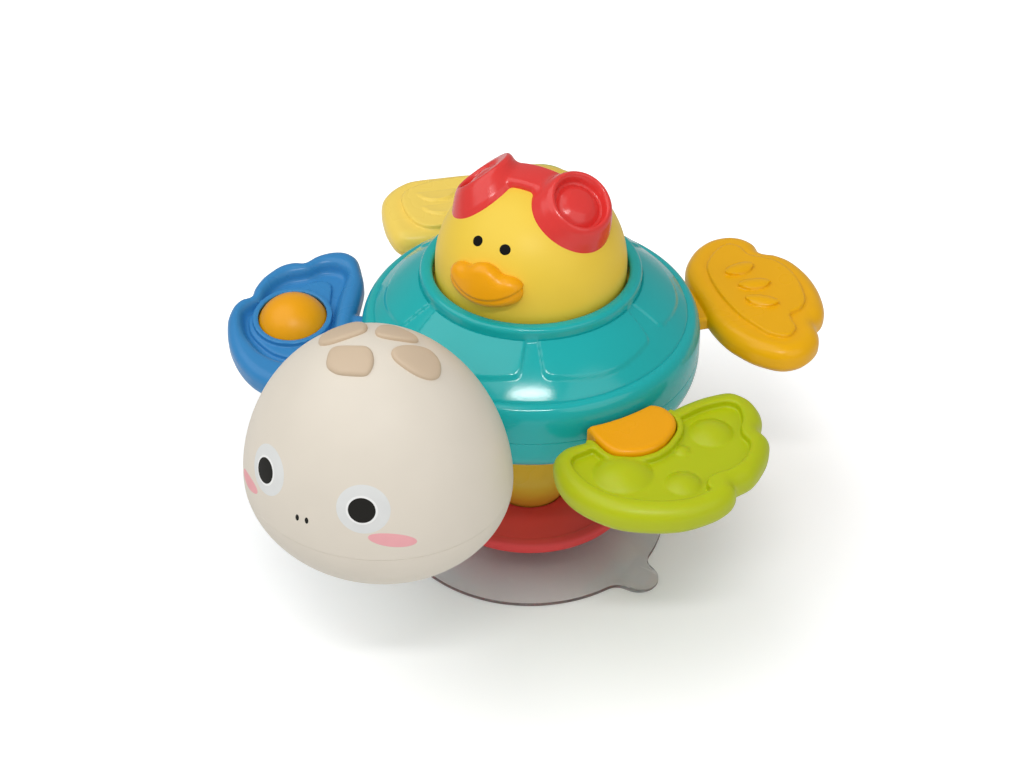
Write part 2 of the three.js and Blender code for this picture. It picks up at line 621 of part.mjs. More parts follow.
function upperShell() {
  const low = SEAM_Z + FIT_GAP / 2;
  const beadRise = LEDGE_Z - BEAD_Z;
  const beadDepth = SHELL_RADIUS - LEDGE_RADIUS - 0.6;
  const wall = quarter(2.2, 3).reverse().map(([across, up]) => (
    [SHELL_RADIUS - beadDepth + beadDepth * across, BEAD_Z + (beadRise - 0.4) * up]
  ));
  wall.sort((one, other) => one[1] - other[1]);
  const edgeRadii = [0.3, -1, -2.3].map((step) => SCUTE_EDGE_RADIUS + step);
  const domeRadii = [LEDGE_RADIUS, ...edgeRadii, (edgeRadii[2] + COLLAR_RADIUS) / 2, COLLAR_RADIUS + 1];
  const collarRound = 0.75 * (COLLAR_RADIUS - COLLAR_BORE_RADIUS);
  const collar = quarter(2, 2).map(([across]) => (
    [COLLAR_RADIUS - collarRound * across, COLLAR_TOP_Z - COLLAR_HEIGHT * (1 - across)]
  ));
  const sectorDegrees = 360 / SCUTE_COUNT;
  const halfSector = [0, 3.4, 5.6, 9, 19];
  const steps = [];
  for (let sector = 0; sector < SCUTE_COUNT; sector += 1) {
    halfSector.forEach((degrees) => steps.push([sector, degrees]));
    steps.push([sector, sectorDegrees / 2]);
    halfSector.slice(1).reverse().forEach((degrees) => steps.push([sector, sectorDegrees - degrees]));
  }
  const ring = (shape) => steps.map(([sector, degrees]) => {
    const fromValley = rad(Math.min(degrees, sectorDegrees - degrees));
    const [radius, height] = shape(fromValley);
    const angle = rad(SCUTE_VALLEY_ANGLE + sector * sectorDegrees + degrees);
    return [radius * Math.cos(angle), radius * Math.sin(angle), height];
  });
  const rings = [
    ring(() => [SHELL_RADIUS, low]),
    ...wall.map((point) => ring(() => point)),
    ...domeRadii.map((radius) => (
      ring((fromValley) => [radius, domeHeight(radius) + scuteRise(radius, fromValley)])
    )),
    ring(() => [COLLAR_RADIUS, COLLAR_FOOT_Z]),
    ...collar.slice(1).map((point) => ring(() => point)),
  ];
  const outside = solidOf(stackedRings(rings, [0, 0, low], [0, 0, COLLAR_TOP_Z]));
  const roof = COLLAR_UNDERSIDE_Z;
  const inner = SHELL_RADIUS - SHELL_WALL;
  const inside = revolvedSolid([
    [0, low - 1], [inner, low - 1], [inner, BEAD_Z], [inner - 1, BEAD_Z + 4.4],
    [LEDGE_RADIUS - SHELL_WALL, LEDGE_Z - SHELL_WALL / 2],
    [LEDGE_RADIUS - 3 * SHELL_WALL, domeHeight(LEDGE_RADIUS - 3 * SHELL_WALL) - 1.4 * SHELL_WALL],
    [COLLAR_RADIUS + 2, roof], [0, roof],
  ], HIDDEN_ROUND);
  const bore = solidOf(uprightRod(COLLAR_BORE_RADIUS, roof - 1, COLLAR_TOP_Z + 1, 0, 0, FINE_ROUND));
  const places = placesOnCircle(SHELL_SCREW_CIRCLE, SHELL_SCREW_ANGLES);
  const boss = PILOT_RADIUS + BOSS_WALL;
  const bossTop = domeHeight(SHELL_SCREW_CIRCLE + boss) - SHELL_WALL / 3;
  const bosses = places.map(([x, y]) => solidOf(uprightRod(boss, low, bossTop, x, y)));
  const pilotTop = SHELL_SCREW_SEAT_Z - FIT_GAP + SHELL_SCREW_LENGTH + FIT_GAP;
  const pilots = places.map(([x, y]) => solidOf(uprightRod(PILOT_RADIUS, low - 1, pilotTop, x, y)));
  const way = solidOf(uprightRod(DUCK_WAY_RADIUS, low - 1, roof, 0, 0, ROUND));
  const shell = joined(cut(outside, inside, bore), ...bosses);
  return cut(shell, way, ...pilots, ...pinOpenings());
}

// Duck button

function duckDome() {
  const innerRadius = DUCK_RADIUS - DUCK_WALL;
  const arc = (radius, steps) => quarter(2, steps).map(([across, up]) => (
    [radius * across, DUCK_CENTRE_Z + radius * up]
  ));
  return revolvedSolid([
    ...arc(innerRadius, 5), [innerRadius, DUCK_SKIRT_Z], [DUCK_RADIUS + DUCK_FLANGE_WIDTH, DUCK_SKIRT_Z],
    [DUCK_RADIUS + DUCK_FLANGE_WIDTH, DUCK_FLANGE_TOP_Z], [DUCK_RADIUS, DUCK_FLANGE_TOP_Z],
    ...arc(DUCK_RADIUS, 7).reverse(),
  ]);
}

// Disc under the duck, with the tube that slides on the shell's post
function duckGuide() {
  const discRadius = DUCK_RADIUS + DUCK_FLANGE_WIDTH;
  const low = GUIDE_DISC_Z - GUIDE_DISC_THICKNESS;
  const tube = GUIDE_BORE_RADIUS + GUIDE_TUBE_WALL;
  return revolvedSolid([
    [0, GUIDE_DISC_Z], [discRadius, GUIDE_DISC_Z], [discRadius, low], [tube, low], [tube, GUIDE_TUBE_Z],
    [GUIDE_BORE_RADIUS, GUIDE_TUBE_Z], [GUIDE_BORE_RADIUS, low], [0, low],
  ].reverse(), HIDDEN_ROUND);
}

class Helix extends THREE.Curve {
  constructor(radius, low, high, turns) {
    super();
    Object.assign(this, { radius, low, high, turns });
  }

  getPoint(along, target = new THREE.Vector3()) {
    const angle = along * this.turns * 2 * Math.PI;
    const height = this.low + (this.high - this.low) * along;
    return target.set(this.radius * Math.cos(angle), this.radius * Math.sin(angle), height);
  }
}

function returnSpring() {
  const low = SHELL_FLOOR_TOP_Z + FIT_GAP + SPRING_WIRE_RADIUS;
  const high = GUIDE_DISC_Z - GUIDE_DISC_THICKNESS - FIT_GAP - SPRING_WIRE_RADIUS;
  const path = new Helix(SPRING_RADIUS, low, high, SPRING_TURNS);
  const circle = new THREE.Path().absarc(0, 0, SPRING_WIRE_RADIUS, 0, 2 * Math.PI);
  const wire = new THREE.Shape(circle.getPoints(5).slice(0, 5));
  return solidOf(new THREE.ExtrudeGeometry(wire, { steps: SPRING_TURNS * 8, extrudePath: path }));
}

// A direction from the duck's centre: bearing from straight ahead, and elevation
function duckDirection(bearing, elevation) {
  const across = Math.cos(rad(elevation));
  const side = Math.sin(rad(bearing)) * across;
  const ahead = -Math.cos(rad(bearing)) * across;
  return new THREE.Vector3(side, ahead, Math.sin(rad(elevation)));
}

// An ellipsoid on the duck's surface, its depth along the given direction
function moundOnDuck(bearing, elevation, halfWidth, halfHeight, reach) {
  const ball = new THREE.SphereGeometry(1, 14, 7).scale(halfWidth, reach, halfHeight);
  ball.rotateX(rad(-elevation)).rotateZ(rad(bearing));
  const place = duckDirection(bearing, elevation).multiplyScalar(DUCK_RADIUS);
  return solidOf(ball.translate(place.x, place.y, place.z + DUCK_CENTRE_Z));
}

// A ball round the duck's centre whose flats, too, keep the given radius
function duckBall(radius) {
  const sides = 20;
  const reach = radius / Math.cos(Math.PI / sides) ** 2;
  const ball = new THREE.SphereGeometry(reach, sides, sides / 2).rotateX(Math.PI / 2);
  return solidOf(ball.translate(0, 0, DUCK_CENTRE_Z));
}

function duckBeak() {
  const bill = moundOnDuck(0, BEAK_ELEVATION, BEAK_WIDTH / 2, BEAK_HEIGHT / 2, BEAK_REACH);
  const hump = moundOnDuck(0, BEAK_HUMP_ELEVATION, ...BEAK_HUMP_SIZE);
  const corners = [-1, 1].map((side) => (
    moundOnDuck(side * BEAK_CORNER_BEARING, BEAK_CORNER_ELEVATION, ...BEAK_CORNER_SIZE)
  ));
  return cut(joined(bill, hump, ...corners), duckBall(DUCK_RADIUS + FIT_GAP));
}

function goggles() {
  const seat = DUCK_RADIUS - 4;
  const rimZ = DUCK_RADIUS + GOGGLE_HEIGHT;
  const cup = [
    [0, seat], [GOGGLE_BASE_RADIUS, seat], [GOGGLE_BASE_RADIUS, DUCK_RADIUS - 0.6],
    [GOGGLE_BASE_RADIUS - 1, DUCK_RADIUS + GOGGLE_HEIGHT / 2], [GOGGLE_RIM_RADIUS + 0.6, rimZ - 0.8],
    [GOGGLE_RIM_RADIUS - 0.4, rimZ], [LENS_RADIUS + 0.4, rimZ], [LENS_RADIUS, rimZ - LENS_DEPTH],
    [LENS_RADIUS * 0.8, rimZ - LENS_DEPTH], [LENS_RADIUS * 0.5, rimZ - LENS_DEPTH / 3], [0, rimZ],
  ];
  const cups = [-1, 1].map((side) => {
    const axis = duckDirection(GOGGLE_TURN + side * GOGGLE_BEARING, GOGGLE_ELEVATION);
    const turn = new THREE.Quaternion().setFromUnitVectors(new THREE.Vector3(0, 0, 1), axis);
    return solidOf(revolved(cup, 18).applyQuaternion(turn).translate(0, 0, DUCK_CENTRE_Z));
  });
  const half = BRIDGE_WIDTH / 2;
  const bridgeTop = DUCK_RADIUS + BRIDGE_THICKNESS;
  const band = [
    [seat, -half], [bridgeTop - 1.4, -half], [bridgeTop, -half + 1.6], [bridgeTop, half - 1.6],
    [bridgeTop - 1.4, half], [seat, half], [seat, -half],
  ];
  const hoop = revolved(band, ROUND).rotateX(-Math.PI / 2).translate(0, 0, DUCK_CENTRE_Z);
  const bridgeSpan = DUCK_RADIUS * Math.cos(rad(GOGGLE_ELEVATION));
  const heights = [DUCK_CENTRE_Z, DUCK_CENTRE_Z + 2 * DUCK_RADIUS];
  const over = solidOf(block([-bridgeSpan, bridgeSpan], [-half - 1, half + 1], heights));
  const bridge = placed(solidOf(hoop).intersect(over), GOGGLE_TURN);
  return cut(joined(bridge, ...cups), duckBall(DUCK_RADIUS + FIT_GAP));
}

// Head

// The egg's surface moved in or out by an offset, round the head's own centre
function headEgg(offset, segments) {
  const crown = quarter(HEAD_CROWN_POWER, 6).map(([across, up]) => [across, (HEAD_CROWN + offset) * up]);
  const chin = quarter(HEAD_CHIN_POWER, 4).map(([across, down]) => [across, -(HEAD_CHIN + offset) * down]);
  const profile = [...chin, ...crown.reverse().slice(1)];
  const egg = revolved(profile, segments).scale(HEAD_HALF_WIDTH + offset, HEAD_HALF_LENGTH + offset, 1);
  return solidOf(egg.translate(0, -HEAD_REACH, HEAD_SEAM_Z));
}

// The head turns about its neck inside this ball's clearance
function neckBall(radius) {
  return solidOf(new THREE.SphereGeometry(radius, FINE_ROUND, 24).translate(0, 0, SEAM_Z));
}

function headShell() {
  const cavity = cut(headEgg(-HEAD_WALL, HIDDEN_ROUND), neckBall(CLEAR_RADIUS + HEAD_WALL));
  return cut(headEgg(0, FINE_ROUND), neckBall(CLEAR_RADIUS), cavity);
}

function headHalf(shell, low, high) {
  const side = HEAD_HALF_WIDTH + 1;
  const ahead = HEAD_REACH + HEAD_HALF_LENGTH + 1;
  return shell.intersect(solidOf(block([-side, side], [-ahead, 0], [low, high])));
}

function headCrown(shell) {
  return headHalf(shell, HEAD_SEAM_Z + FIT_GAP / 2, HEAD_SEAM_Z + HEAD_CROWN + 1);
}

function headChin(shell) {
  const half = headHalf(shell, HEAD_SEAM_Z - HEAD_CHIN - 1, HEAD_SEAM_Z - FIT_GAP / 2);
  const drop = (HEAD_SEAM_Z - SEAM_Z) / HEAD_CHIN;
  const back = HEAD_HALF_LENGTH * (1 - drop ** HEAD_CHIN_POWER) ** (1 / HEAD_CHIN_POWER);
  const neckEnd = Math.max(CLEAR_RADIUS, HEAD_REACH - back) + HEAD_WALL / 2;
  const neck = radialRod(NECK_RADIUS, PIN_INNER_END, neckEnd, SEAM_Z, 16);
  const flange = radialRod(NECK_RADIUS + PIN_FLANGE_WIDTH, PIN_FLANGE_REACH, PIN_FLANGE_END, SEAM_Z, 16);
  return joined(half, ...[neck, flange].map((rod) => solidOf(turned(rod, HEAD_ANGLE))));
}

function crownPatch([ahead, side, halfLength, halfWidth, turn]) {
  const outline = new THREE.Shape();
  const corners = 16;
  for (let step = 0; step < corners; step += 1) {
    const angle = (step / corners) * 2 * Math.PI;
    const across = Math.sign(Math.cos(angle)) * Math.abs(Math.cos(angle)) ** 0.7 * halfWidth;
    const along = Math.sign(Math.sin(angle)) * Math.abs(Math.sin(angle)) ** 0.7 * halfLength;
    if (step === 0) outline.moveTo(across, along);
    else outline.lineTo(across, along);
  }
  const column = new THREE.ExtrudeGeometry(outline, { depth: HEAD_CROWN, bevelEnabled: false });
  column.rotateZ(rad(turn)).translate(side, -HEAD_REACH - ahead, HEAD_SEAM_Z + HEAD_CROWN / 3);
  const skin = cut(headEgg(PATCH_RISE, FINE_ROUND), headEgg(FIT_GAP, FINE_ROUND));
  return skin.intersect(solidOf(column));
}

// Flippers, each in its own frame: X outward from the spin axis, Y sideways, Z up from the pin's height

// Where a ray leaves a circle, or enters it, as a distance along the ray; 0 where it misses
function rayMeets(from, way, circle, radius, side) {
  const toX = circle[0] - from[0];
  const toY = circle[1] - from[1];
  const along = toX * way[0] + toY * way[1];
  const under = radius ** 2 - (toX ** 2 + toY ** 2 - along ** 2);
  if (radius <= 0 || under < 0) return 0;
  return along + side * Math.sqrt(under);
}

// The lobed outline drawn in by an inset: the lobes shrink and the arc beside the shell moves out
function outlinePoint({ lobes, clearRadius }, inset, angle) {
  const way = [Math.cos(angle), Math.sin(angle)];
  const exits = lobes.map(([x, y, radius]) => rayMeets(LOBE_CENTRE, way, [x, y], radius - inset, 1));
  const wall = rayMeets(LOBE_CENTRE, way, [0, 0], clearRadius + inset, -1);
  const lobeReach = Math.max(...exits);
  const reach = wall > 0 ? Math.min(wall, lobeReach) : lobeReach;
  return LOBE_CENTRE.map((middle, axis) => middle + way[axis] * reach);
}

// Directions from the middle that follow the outline's bends and leave out its straighter stretches
function outlineAngles(form) {
  const fine = 360;
  const points = [];
  for (let step = 0; step <= fine; step += 1) points.push(outlinePoint(form, 0, (step / fine) * 2 * Math.PI));
  const keep = (from, to) => {
    const [x, y] = points[from];
    const along = [points[to][0] - x, points[to][1] - y];
    const length = Math.hypot(...along);
    let worst = OUTLINE_TOLERANCE;
    let at = 0;
    for (let step = from + 1; step < to; step += 1) {
      const off = Math.abs((points[step][0] - x) * along[1] - (points[step][1] - y) * along[0]) / length;
      if (off > worst) [worst, at] = [off, step];
    }
    return at ? [...keep(from, at), ...keep(at, to)] : [from];
  };
  const third = fine / 3;
  const kept = [0, 1, 2].flatMap((part) => keep(part * third, (part + 1) * third));
  return kept.map((step) => (step / fine) * 2 * Math.PI);
}

// A section of [inset, height] points, from the middle of the underside to the middle of the top
function lobedPlate(form, section) {
  const angles = outlineAngles(form);
  const rings = section.map(([inset, height]) => (
    angles.map((angle) => [...outlinePoint(form, inset, angle), height])
  ));
  const middle = (height) => [...LOBE_CENTRE, height];
  return solidOf(stackedRings(rings, middle(section[0][1]), middle(section.at(-1)[1])));
}

// Rounded rim, the same round every flipper
function edgeSection(form, topInset) {
  const bottom = form.top - FLIPPER_DEPTH;
  return [
    [3.6, bottom], [0.8, bottom + 1.9], [0, bottom + FLIPPER_DEPTH / 2],
    [0.8, form.top - 1.6], [topInset, form.top],
  ];
}

function traySection(form, depth) {
  return [...edgeSection(form, 2.8), [RIM_WIDTH - 1.2, form.top - 0.5], [RIM_WIDTH, form.top - depth]];
}

function plateauSection(form) {
  return [...edgeSection(form, 3), [PLATEAU_INSET, form.top], [PLATEAU_INSET + 1, form.top + PLATEAU_RISE]];
}

const GREEN_FORM = {
  lobes: GREEN_LOBES.map(outward), clearRadius: SHELL_RADIUS + GREEN_CLEARANCE, top: FLIPPER_TOP,
};
const BLUE_FORM = { lobes: BLUE_LOBES.map(outward), clearRadius: BLUE_CLEAR_RADIUS, top: FLIPPER_TOP };
const BLUE_TRAY_FORM = { lobes: BLUE_TRAY_LOBES.map(outward), clearRadius: BLUE_CLEAR_RADIUS + RIM_WIDTH };
const ORANGE_FORM = {
  lobes: ORANGE_LOBES.map(outward), clearRadius: REAR_CLEAR_RADIUS, top: FLIPPER_TOP + ORANGE_LIFT,
};
const YELLOW_FORM = { lobes: YELLOW_LOBES.map(outward), clearRadius: REAR_CLEAR_RADIUS, top: FLIPPER_TOP };

// Flat arm that ends in the hinge barrel inside the shell
function flapArm(outer) {
  const half = ARM_WIDTH / 2;
  const bar = block([HINGE_REACH, outer], [-half, half], [-ARM_THICKNESS / 2, ARM_THICKNESS / 2]);
  const barrel = sidewaysRod(HINGE_BARREL_RADIUS, HINGE_BARREL_LENGTH, HINGE_REACH, 0, 14);
  return joined(solidOf(bar), solidOf(barrel));
}

function barrelBore() {
  return solidOf(sidewaysRod(HINGE_PIN_RADIUS + RUN_GAP, HINGE_BARREL_LENGTH + 2, HINGE_REACH, 0));
}

function blueFlipper() {
  const floor = FLIPPER_TOP - TRAY_DEPTH;
  const tray = lobedPlate(BLUE_TRAY_FORM, [[1, floor], [0, floor + 1.4], [-1, FLIPPER_TOP + 0.1]]);
  const plate = cut(lobedPlate(BLUE_FORM, edgeSection(BLUE_FORM, 2.8)), tray);
  const hole = BALL_RADIUS + BALL_GAP;
  const outer = hole + BALL_COLLAR_WIDTH;
  const collar = uprightRod(outer, FLIPPER_BOTTOM + 1, BALL_COLLAR_TOP, BALL_REACH, 0, HIDDEN_ROUND);
  const pin = radialRod(BLUE_PIN_RADIUS, PIN_INNER_END, BLUE_CLEAR_RADIUS + 4, 0, 16);
  const flange = radialRod(BLUE_PIN_RADIUS + PIN_FLANGE_WIDTH, PIN_FLANGE_REACH, PIN_FLANGE_END, 0, 16);
  const body = joined(plate, ...[collar, pin, flange].map(solidOf));
  const well = uprightRod(hole, FLIPPER_BOTTOM - 1, FLIPPER_TOP + 1, BALL_REACH, 0, HIDDEN_ROUND);
  const axleSpan = 2 * (hole + AXLE_SEAT + FIT_GAP);
  const axleHole = sidewaysRod(AXLE_RADIUS + FIT_GAP, axleSpan, BALL_REACH, -BALL_DROP);
  return cut(body, solidOf(well), solidOf(axleHole));
}

function rollerBall() {
  const ball = new THREE.SphereGeometry(BALL_RADIUS, 18, 10).translate(BALL_REACH, 0, -BALL_DROP);
  const bore = sidewaysRod(AXLE_RADIUS + RUN_GAP, 3 * BALL_RADIUS, BALL_REACH, -BALL_DROP);
  return cut(solidOf(ball), solidOf(bore));
}

function ballAxle() {
  return solidOf(sidewaysRod(AXLE_RADIUS, 2 * (BALL_RADIUS + BALL_GAP + AXLE_SEAT), BALL_REACH, -BALL_DROP));
}

function squashedBall(x, y, z, sizes, degrees = 0, segments = 14) {
  const ball = new THREE.SphereGeometry(1, segments, 6).rotateX(Math.PI / 2).scale(...sizes);
  return solidOf(turned(ball, degrees).translate(x, y, z));
}

// D-shaped prism: straight beside the shell, half round outward
function clipPrism(grow, low, high, bevel) {
  const half = CLIP_WIDTH / 2 + grow - bevel;
  const middle = CLEAR_RADIUS + CLIP_SIDE;
  const inner = CLEAR_RADIUS - CLIP_WIDTH / 3;
  const outline = new THREE.Shape();
  outline.moveTo(inner, -half);
  outline.lineTo(middle, -half);
  outline.absarc(middle, 0, half, -Math.PI / 2, Math.PI / 2, false);
  outline.lineTo(inner, half);
  const bevels = { bevelEnabled: bevel > 0, bevelSize: bevel, bevelThickness: bevel, bevelSegments: 2 };
  const depth = high - low - 2 * bevel;
  const prism = new THREE.ExtrudeGeometry(outline, { depth, curveSegments: 10, ...bevels });
  return solidOf(prism.translate(0, 0, low + bevel));
}

function clearOfShell(radius) {
  return solidOf(uprightRod(radius, -30, 30, 0, 0, 72));
}

function greenClip() {
  const low = CLIP_TOP - CLIP_THICKNESS;
  const pad = cut(clipPrism(0, low, CLIP_TOP, CLIP_BEVEL), clearOfShell(CLEAR_RADIUS));
  const middle = CLEAR_RADIUS + CLIP_WIDTH / 4;
  const stud = solidOf(uprightRod(CLIP_STUD_RADIUS, FLIPPER_BOTTOM, low + 1, middle, 0));
  return cut(joined(pad, stud, flapArm(CLEAR_RADIUS + 2)), barrelBore());
}

function greenFlipper() {
  const low = CLIP_TOP - CLIP_THICKNESS - FIT_GAP;
  const floor = FLIPPER_TOP - PAD_DEPTH;
  const plate = lobedPlate(GREEN_FORM, traySection(GREEN_FORM, PAD_DEPTH));
  const border = cut(
    placed(clipPrism(FIT_GAP + CLIP_BORDER, low - 1, FLIPPER_TOP - 0.4, 0), CLIP_TURN),
    clearOfShell(GREEN_FORM.clearRadius),
  );
  const bubbles = BUBBLES.map(outward).map(([x, y, radius]) => (
    squashedBall(x, y, floor - 0.2, [radius, radius, BUBBLE_RISE * radius + 0.2])
  ));
  const half = ARM_WIDTH / 2 + FIT_GAP;
  const armHeights = [-ARM_THICKNESS / 2 - FIT_GAP, FLIPPER_TOP + 2];
  const armWay = block([0, CLEAR_RADIUS + 2 + FIT_GAP], [-half, half], armHeights);
  const middle = CLEAR_RADIUS + CLIP_WIDTH / 4;
  const studWay = uprightRod(CLIP_STUD_RADIUS + FIT_GAP, FLIPPER_BOTTOM - 1, low + 1, middle, 0);
  const body = joined(plate, border, ...bubbles);
  const pocket = [clipPrism(FIT_GAP, low, FLIPPER_TOP + 6, 0), solidOf(armWay), solidOf(studWay)];
  return cut(body, ...pocket.map((space) => placed(space, CLIP_TURN)));
}

function orangeFlipper() {
  const plateau = ORANGE_FORM.top + PLATEAU_RISE;
  const seeds = SEEDS.map(outward).map(([x, y, degrees]) => (
    squashedBall(x, y, plateau - 0.2, SEED_SIZE, degrees, 10)
  ));
  const arm = flapArm(REAR_CLEAR_RADIUS + 4);
  return cut(joined(lobedPlate(ORANGE_FORM, plateauSection(ORANGE_FORM)), arm, ...seeds), barrelBore());
}

function waveRidge([x, y, radius]) {
  const ends = [Math.PI - rad(WAVE_HALF_ANGLE), Math.PI + rad(WAVE_HALF_ANGLE)];
  const arc = new THREE.EllipseCurve(0, 0, radius, radius, ...ends);
  const path = new THREE.CatmullRomCurve3(arc.getPoints(8).map((p) => new THREE.Vector3(p.x, p.y, 0)));
  const circle = new THREE.Path().absarc(0, 0, WAVE_RADIUS, 0, 2 * Math.PI);
  const round = new THREE.Shape(circle.getPoints(6).slice(0, 6));
  const ridge = new THREE.ExtrudeGeometry(round, { steps: 7, extrudePath: path });
  return solidOf(ridge.translate(x, y, FLIPPER_TOP + PLATEAU_RISE));
}

function yellowFlipper() {
  const arm = flapArm(REAR_CLEAR_RADIUS + 4);
  const [x, y] = outward(SPINNER_PLACE);
  const seat = FLIPPER_TOP + PLATEAU_RISE - RIVET_SEAT;
  const rivetHole = uprightRod(RIVET_RADIUS + FIT_GAP, seat - FIT_GAP, FLIPPER_TOP + PLATEAU_RISE + 1, x, y);
  const ridges = WAVES.map(outward).map(waveRidge);
  const body = joined(lobedPlate(YELLOW_FORM, plateauSection(YELLOW_FORM)), arm, ...ridges);
  return cut(body, barrelBore(), solidOf(rivetHole));
}

function limeSpinner() {
  const [x, y] = outward(SPINNER_PLACE);
  const low = FLIPPER_TOP + PLATEAU_RISE + RUN_GAP;
  const high = low + SPINNER_THICKNESS;
  const bore = RIVET_RADIUS + RUN_GAP;
  const sink = RIVET_HEAD_RADIUS + RUN_GAP;
  const disc = ringSolid([
    [bore, low], [SPINNER_RADIUS - 1, low], [SPINNER_RADIUS, low + 1], [SPINNER_RADIUS, low + 2],
    [SPINNER_RADIUS - 1, high - 0.8], [SPINNER_RADIUS * 0.6, high],
    [sink, high], [sink, high - 1.2], [bore, high - 1.2],
  ], HIDDEN_ROUND);
  return solidOf(geometryOf(disc).translate(x, y, 0));
}

function spinnerRivet() {
  const [x, y] = outward(SPINNER_PLACE);
  const plateau = FLIPPER_TOP + PLATEAU_RISE;
  const headZ = plateau + RUN_GAP + SPINNER_THICKNESS - 1.2 + RUN_GAP;
  const rivet = revolved([
    [0, plateau - RIVET_SEAT], [RIVET_RADIUS, plateau - RIVET_SEAT],
    [RIVET_RADIUS, headZ], [RIVET_HEAD_RADIUS, headZ],
    [RIVET_HEAD_RADIUS * 0.8, headZ + 1.1], [0, headZ + 1.6],
  ], SMALL_ROUND);
  return solidOf(rivet.translate(x, y, 0));
}

function hingePin() {
  const length = HINGE_BARREL_LENGTH + 2 * (RUN_GAP + HINGE_EAR_THICKNESS);
  return solidOf(sidewaysRod(HINGE_PIN_RADIUS, length, HINGE_REACH, 0));
}

// Materials

function plastic(colour, roughness = 0.35) {
  return new THREE.MeshStandardMaterial({ color: colour, roughness, metalness: 0 });
}

const clearLook = { color: '#d9dcdc', roughness: 0.12, transparent: true, opacity: 0.35 };
const clearVinyl = new THREE.MeshStandardMaterial(clearLook);
const steel = new THREE.MeshStandardMaterial({ color: '#b9bcc0', roughness: 0.3, metalness: 1 });
const red = plastic('#e3362f');
const yellow = plastic('#f2cd3c');
const teal = plastic('#28b7b6');
const cream = plastic('#e8e0d4', 0.5);
const tan = plastic('#cfb598', 0.5);
const orange = plastic('#f0ab04');
const blue = plastic('#408cc5');
const lime = plastic('#b9c610', 0.55);
const white = plastic('#e9e7e2', 0.5);

// Assembly

function piece(name, solid, material) {
  const mesh = new THREE.Mesh(geometryOf(solid), material);
  mesh.name = name;
  return mesh;
}

// A flipper's frame: turned to its place round the shell, at the height of the pins
function frameAt(degrees, ...meshes) {
  const group = new THREE.Group();
  group.rotation.z = rad(degrees);
  group.position.z = SEAM_Z;
  group.add(...meshes);
  return group;
}

// The same frame, rolled about its own pin
function rolled(degrees, ...meshes) {
  const group = new THREE.Group();
  group.rotation.x = rad(degrees);
  group.add(...meshes);
  return group;
}

function screwAt(name, length, x, y, z) {
  const mesh = piece(name, screw(length), steel);
  mesh.position.set(x, y, z);
  return mesh;
}

const toy = new THREE.Group();

toy.add(
  piece('suction_cup', suctionCup(), clearVinyl),
  piece('foot_plate', footPlate(), red),
  piece('swivel_washer', swivelWasher(), steel),
  screwAt('swivel_screw', SWIVEL_SCREW_LENGTH, 0, 0, SWIVEL_HEAD_TOP_Z),
  piece('swivel_stem', swivelStem(), yellow),
  piece('lower_shell', lowerShell(), teal),
  piece('upper_shell', upperShell(), teal),
);
stemScrewPlaces().forEach(([x, y], place) => {
  toy.add(screwAt(`stem_screw_${place + 1}`, STEM_SCREW_LENGTH, x, y, STEM_FLANGE_Z - FIT_GAP));
});
placesOnCircle(SHELL_SCREW_CIRCLE, SHELL_SCREW_ANGLES).forEach(([x, y], place) => {
  toy.add(screwAt(`shell_screw_${place + 1}`, SHELL_SCREW_LENGTH, x, y, SHELL_SCREW_SEAT_Z - FIT_GAP));
});

toy.add(
  piece('duck_dome', duckDome(), yellow),
  piece('duck_beak', duckBeak(), orange),
  piece('duck_goggles', goggles(), red),
  piece('duck_guide', duckGuide(), white),
  piece('return_spring', returnSpring(), steel),
);

const head = headShell();
toy.add(piece('head_crown', headCrown(head), cream), piece('head_chin', headChin(head), cream));
CROWN_PATCHES.forEach((patch, place) => {
  toy.add(piece(`crown_patch_${place + 1}`, crownPatch(patch), tan));
});

toy.add(
  frameAt(
    BLUE_ANGLE,
    rolled(
      BLUE_REST_ROLL,
      piece('blue_flipper', blueFlipper(), blue),
      piece('roller_ball', rollerBall(), orange),
      piece('ball_axle', ballAxle(), steel),
    ),
  ),
  frameAt(
    GREEN_ANGLE,
    piece('green_flipper', greenFlipper(), lime),
  ),
  frameAt(
    CLIP_ANGLE,
    piece('green_clip', greenClip(), orange),
    piece('green_hinge_pin', hingePin(), steel),
  ),
  frameAt(
    ORANGE_ANGLE,
    piece('orange_flipper', orangeFlipper(), orange),
    piece('orange_hinge_pin', hingePin(), steel),
  ),
  frameAt(
    YELLOW_ANGLE,
    piece('yellow_flipper', yellowFlipper(), yellow),
    piece('lime_spinner', limeSpinner(), lime),
    piece('spinner_rivet', spinnerRivet(), steel),
    piece('yellow_hinge_pin', hingePin(), steel),
  ),
);

export default toy;
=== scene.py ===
"""Looks of a suction cup turtle toy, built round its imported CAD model.

Each piece is made in millimetres in the CAD model's own frame and rides on the body of the node it
stands for. The turtle looks along -Y, the spin axis is Z and the suction cup's rim lies at height 0.
"""

import math

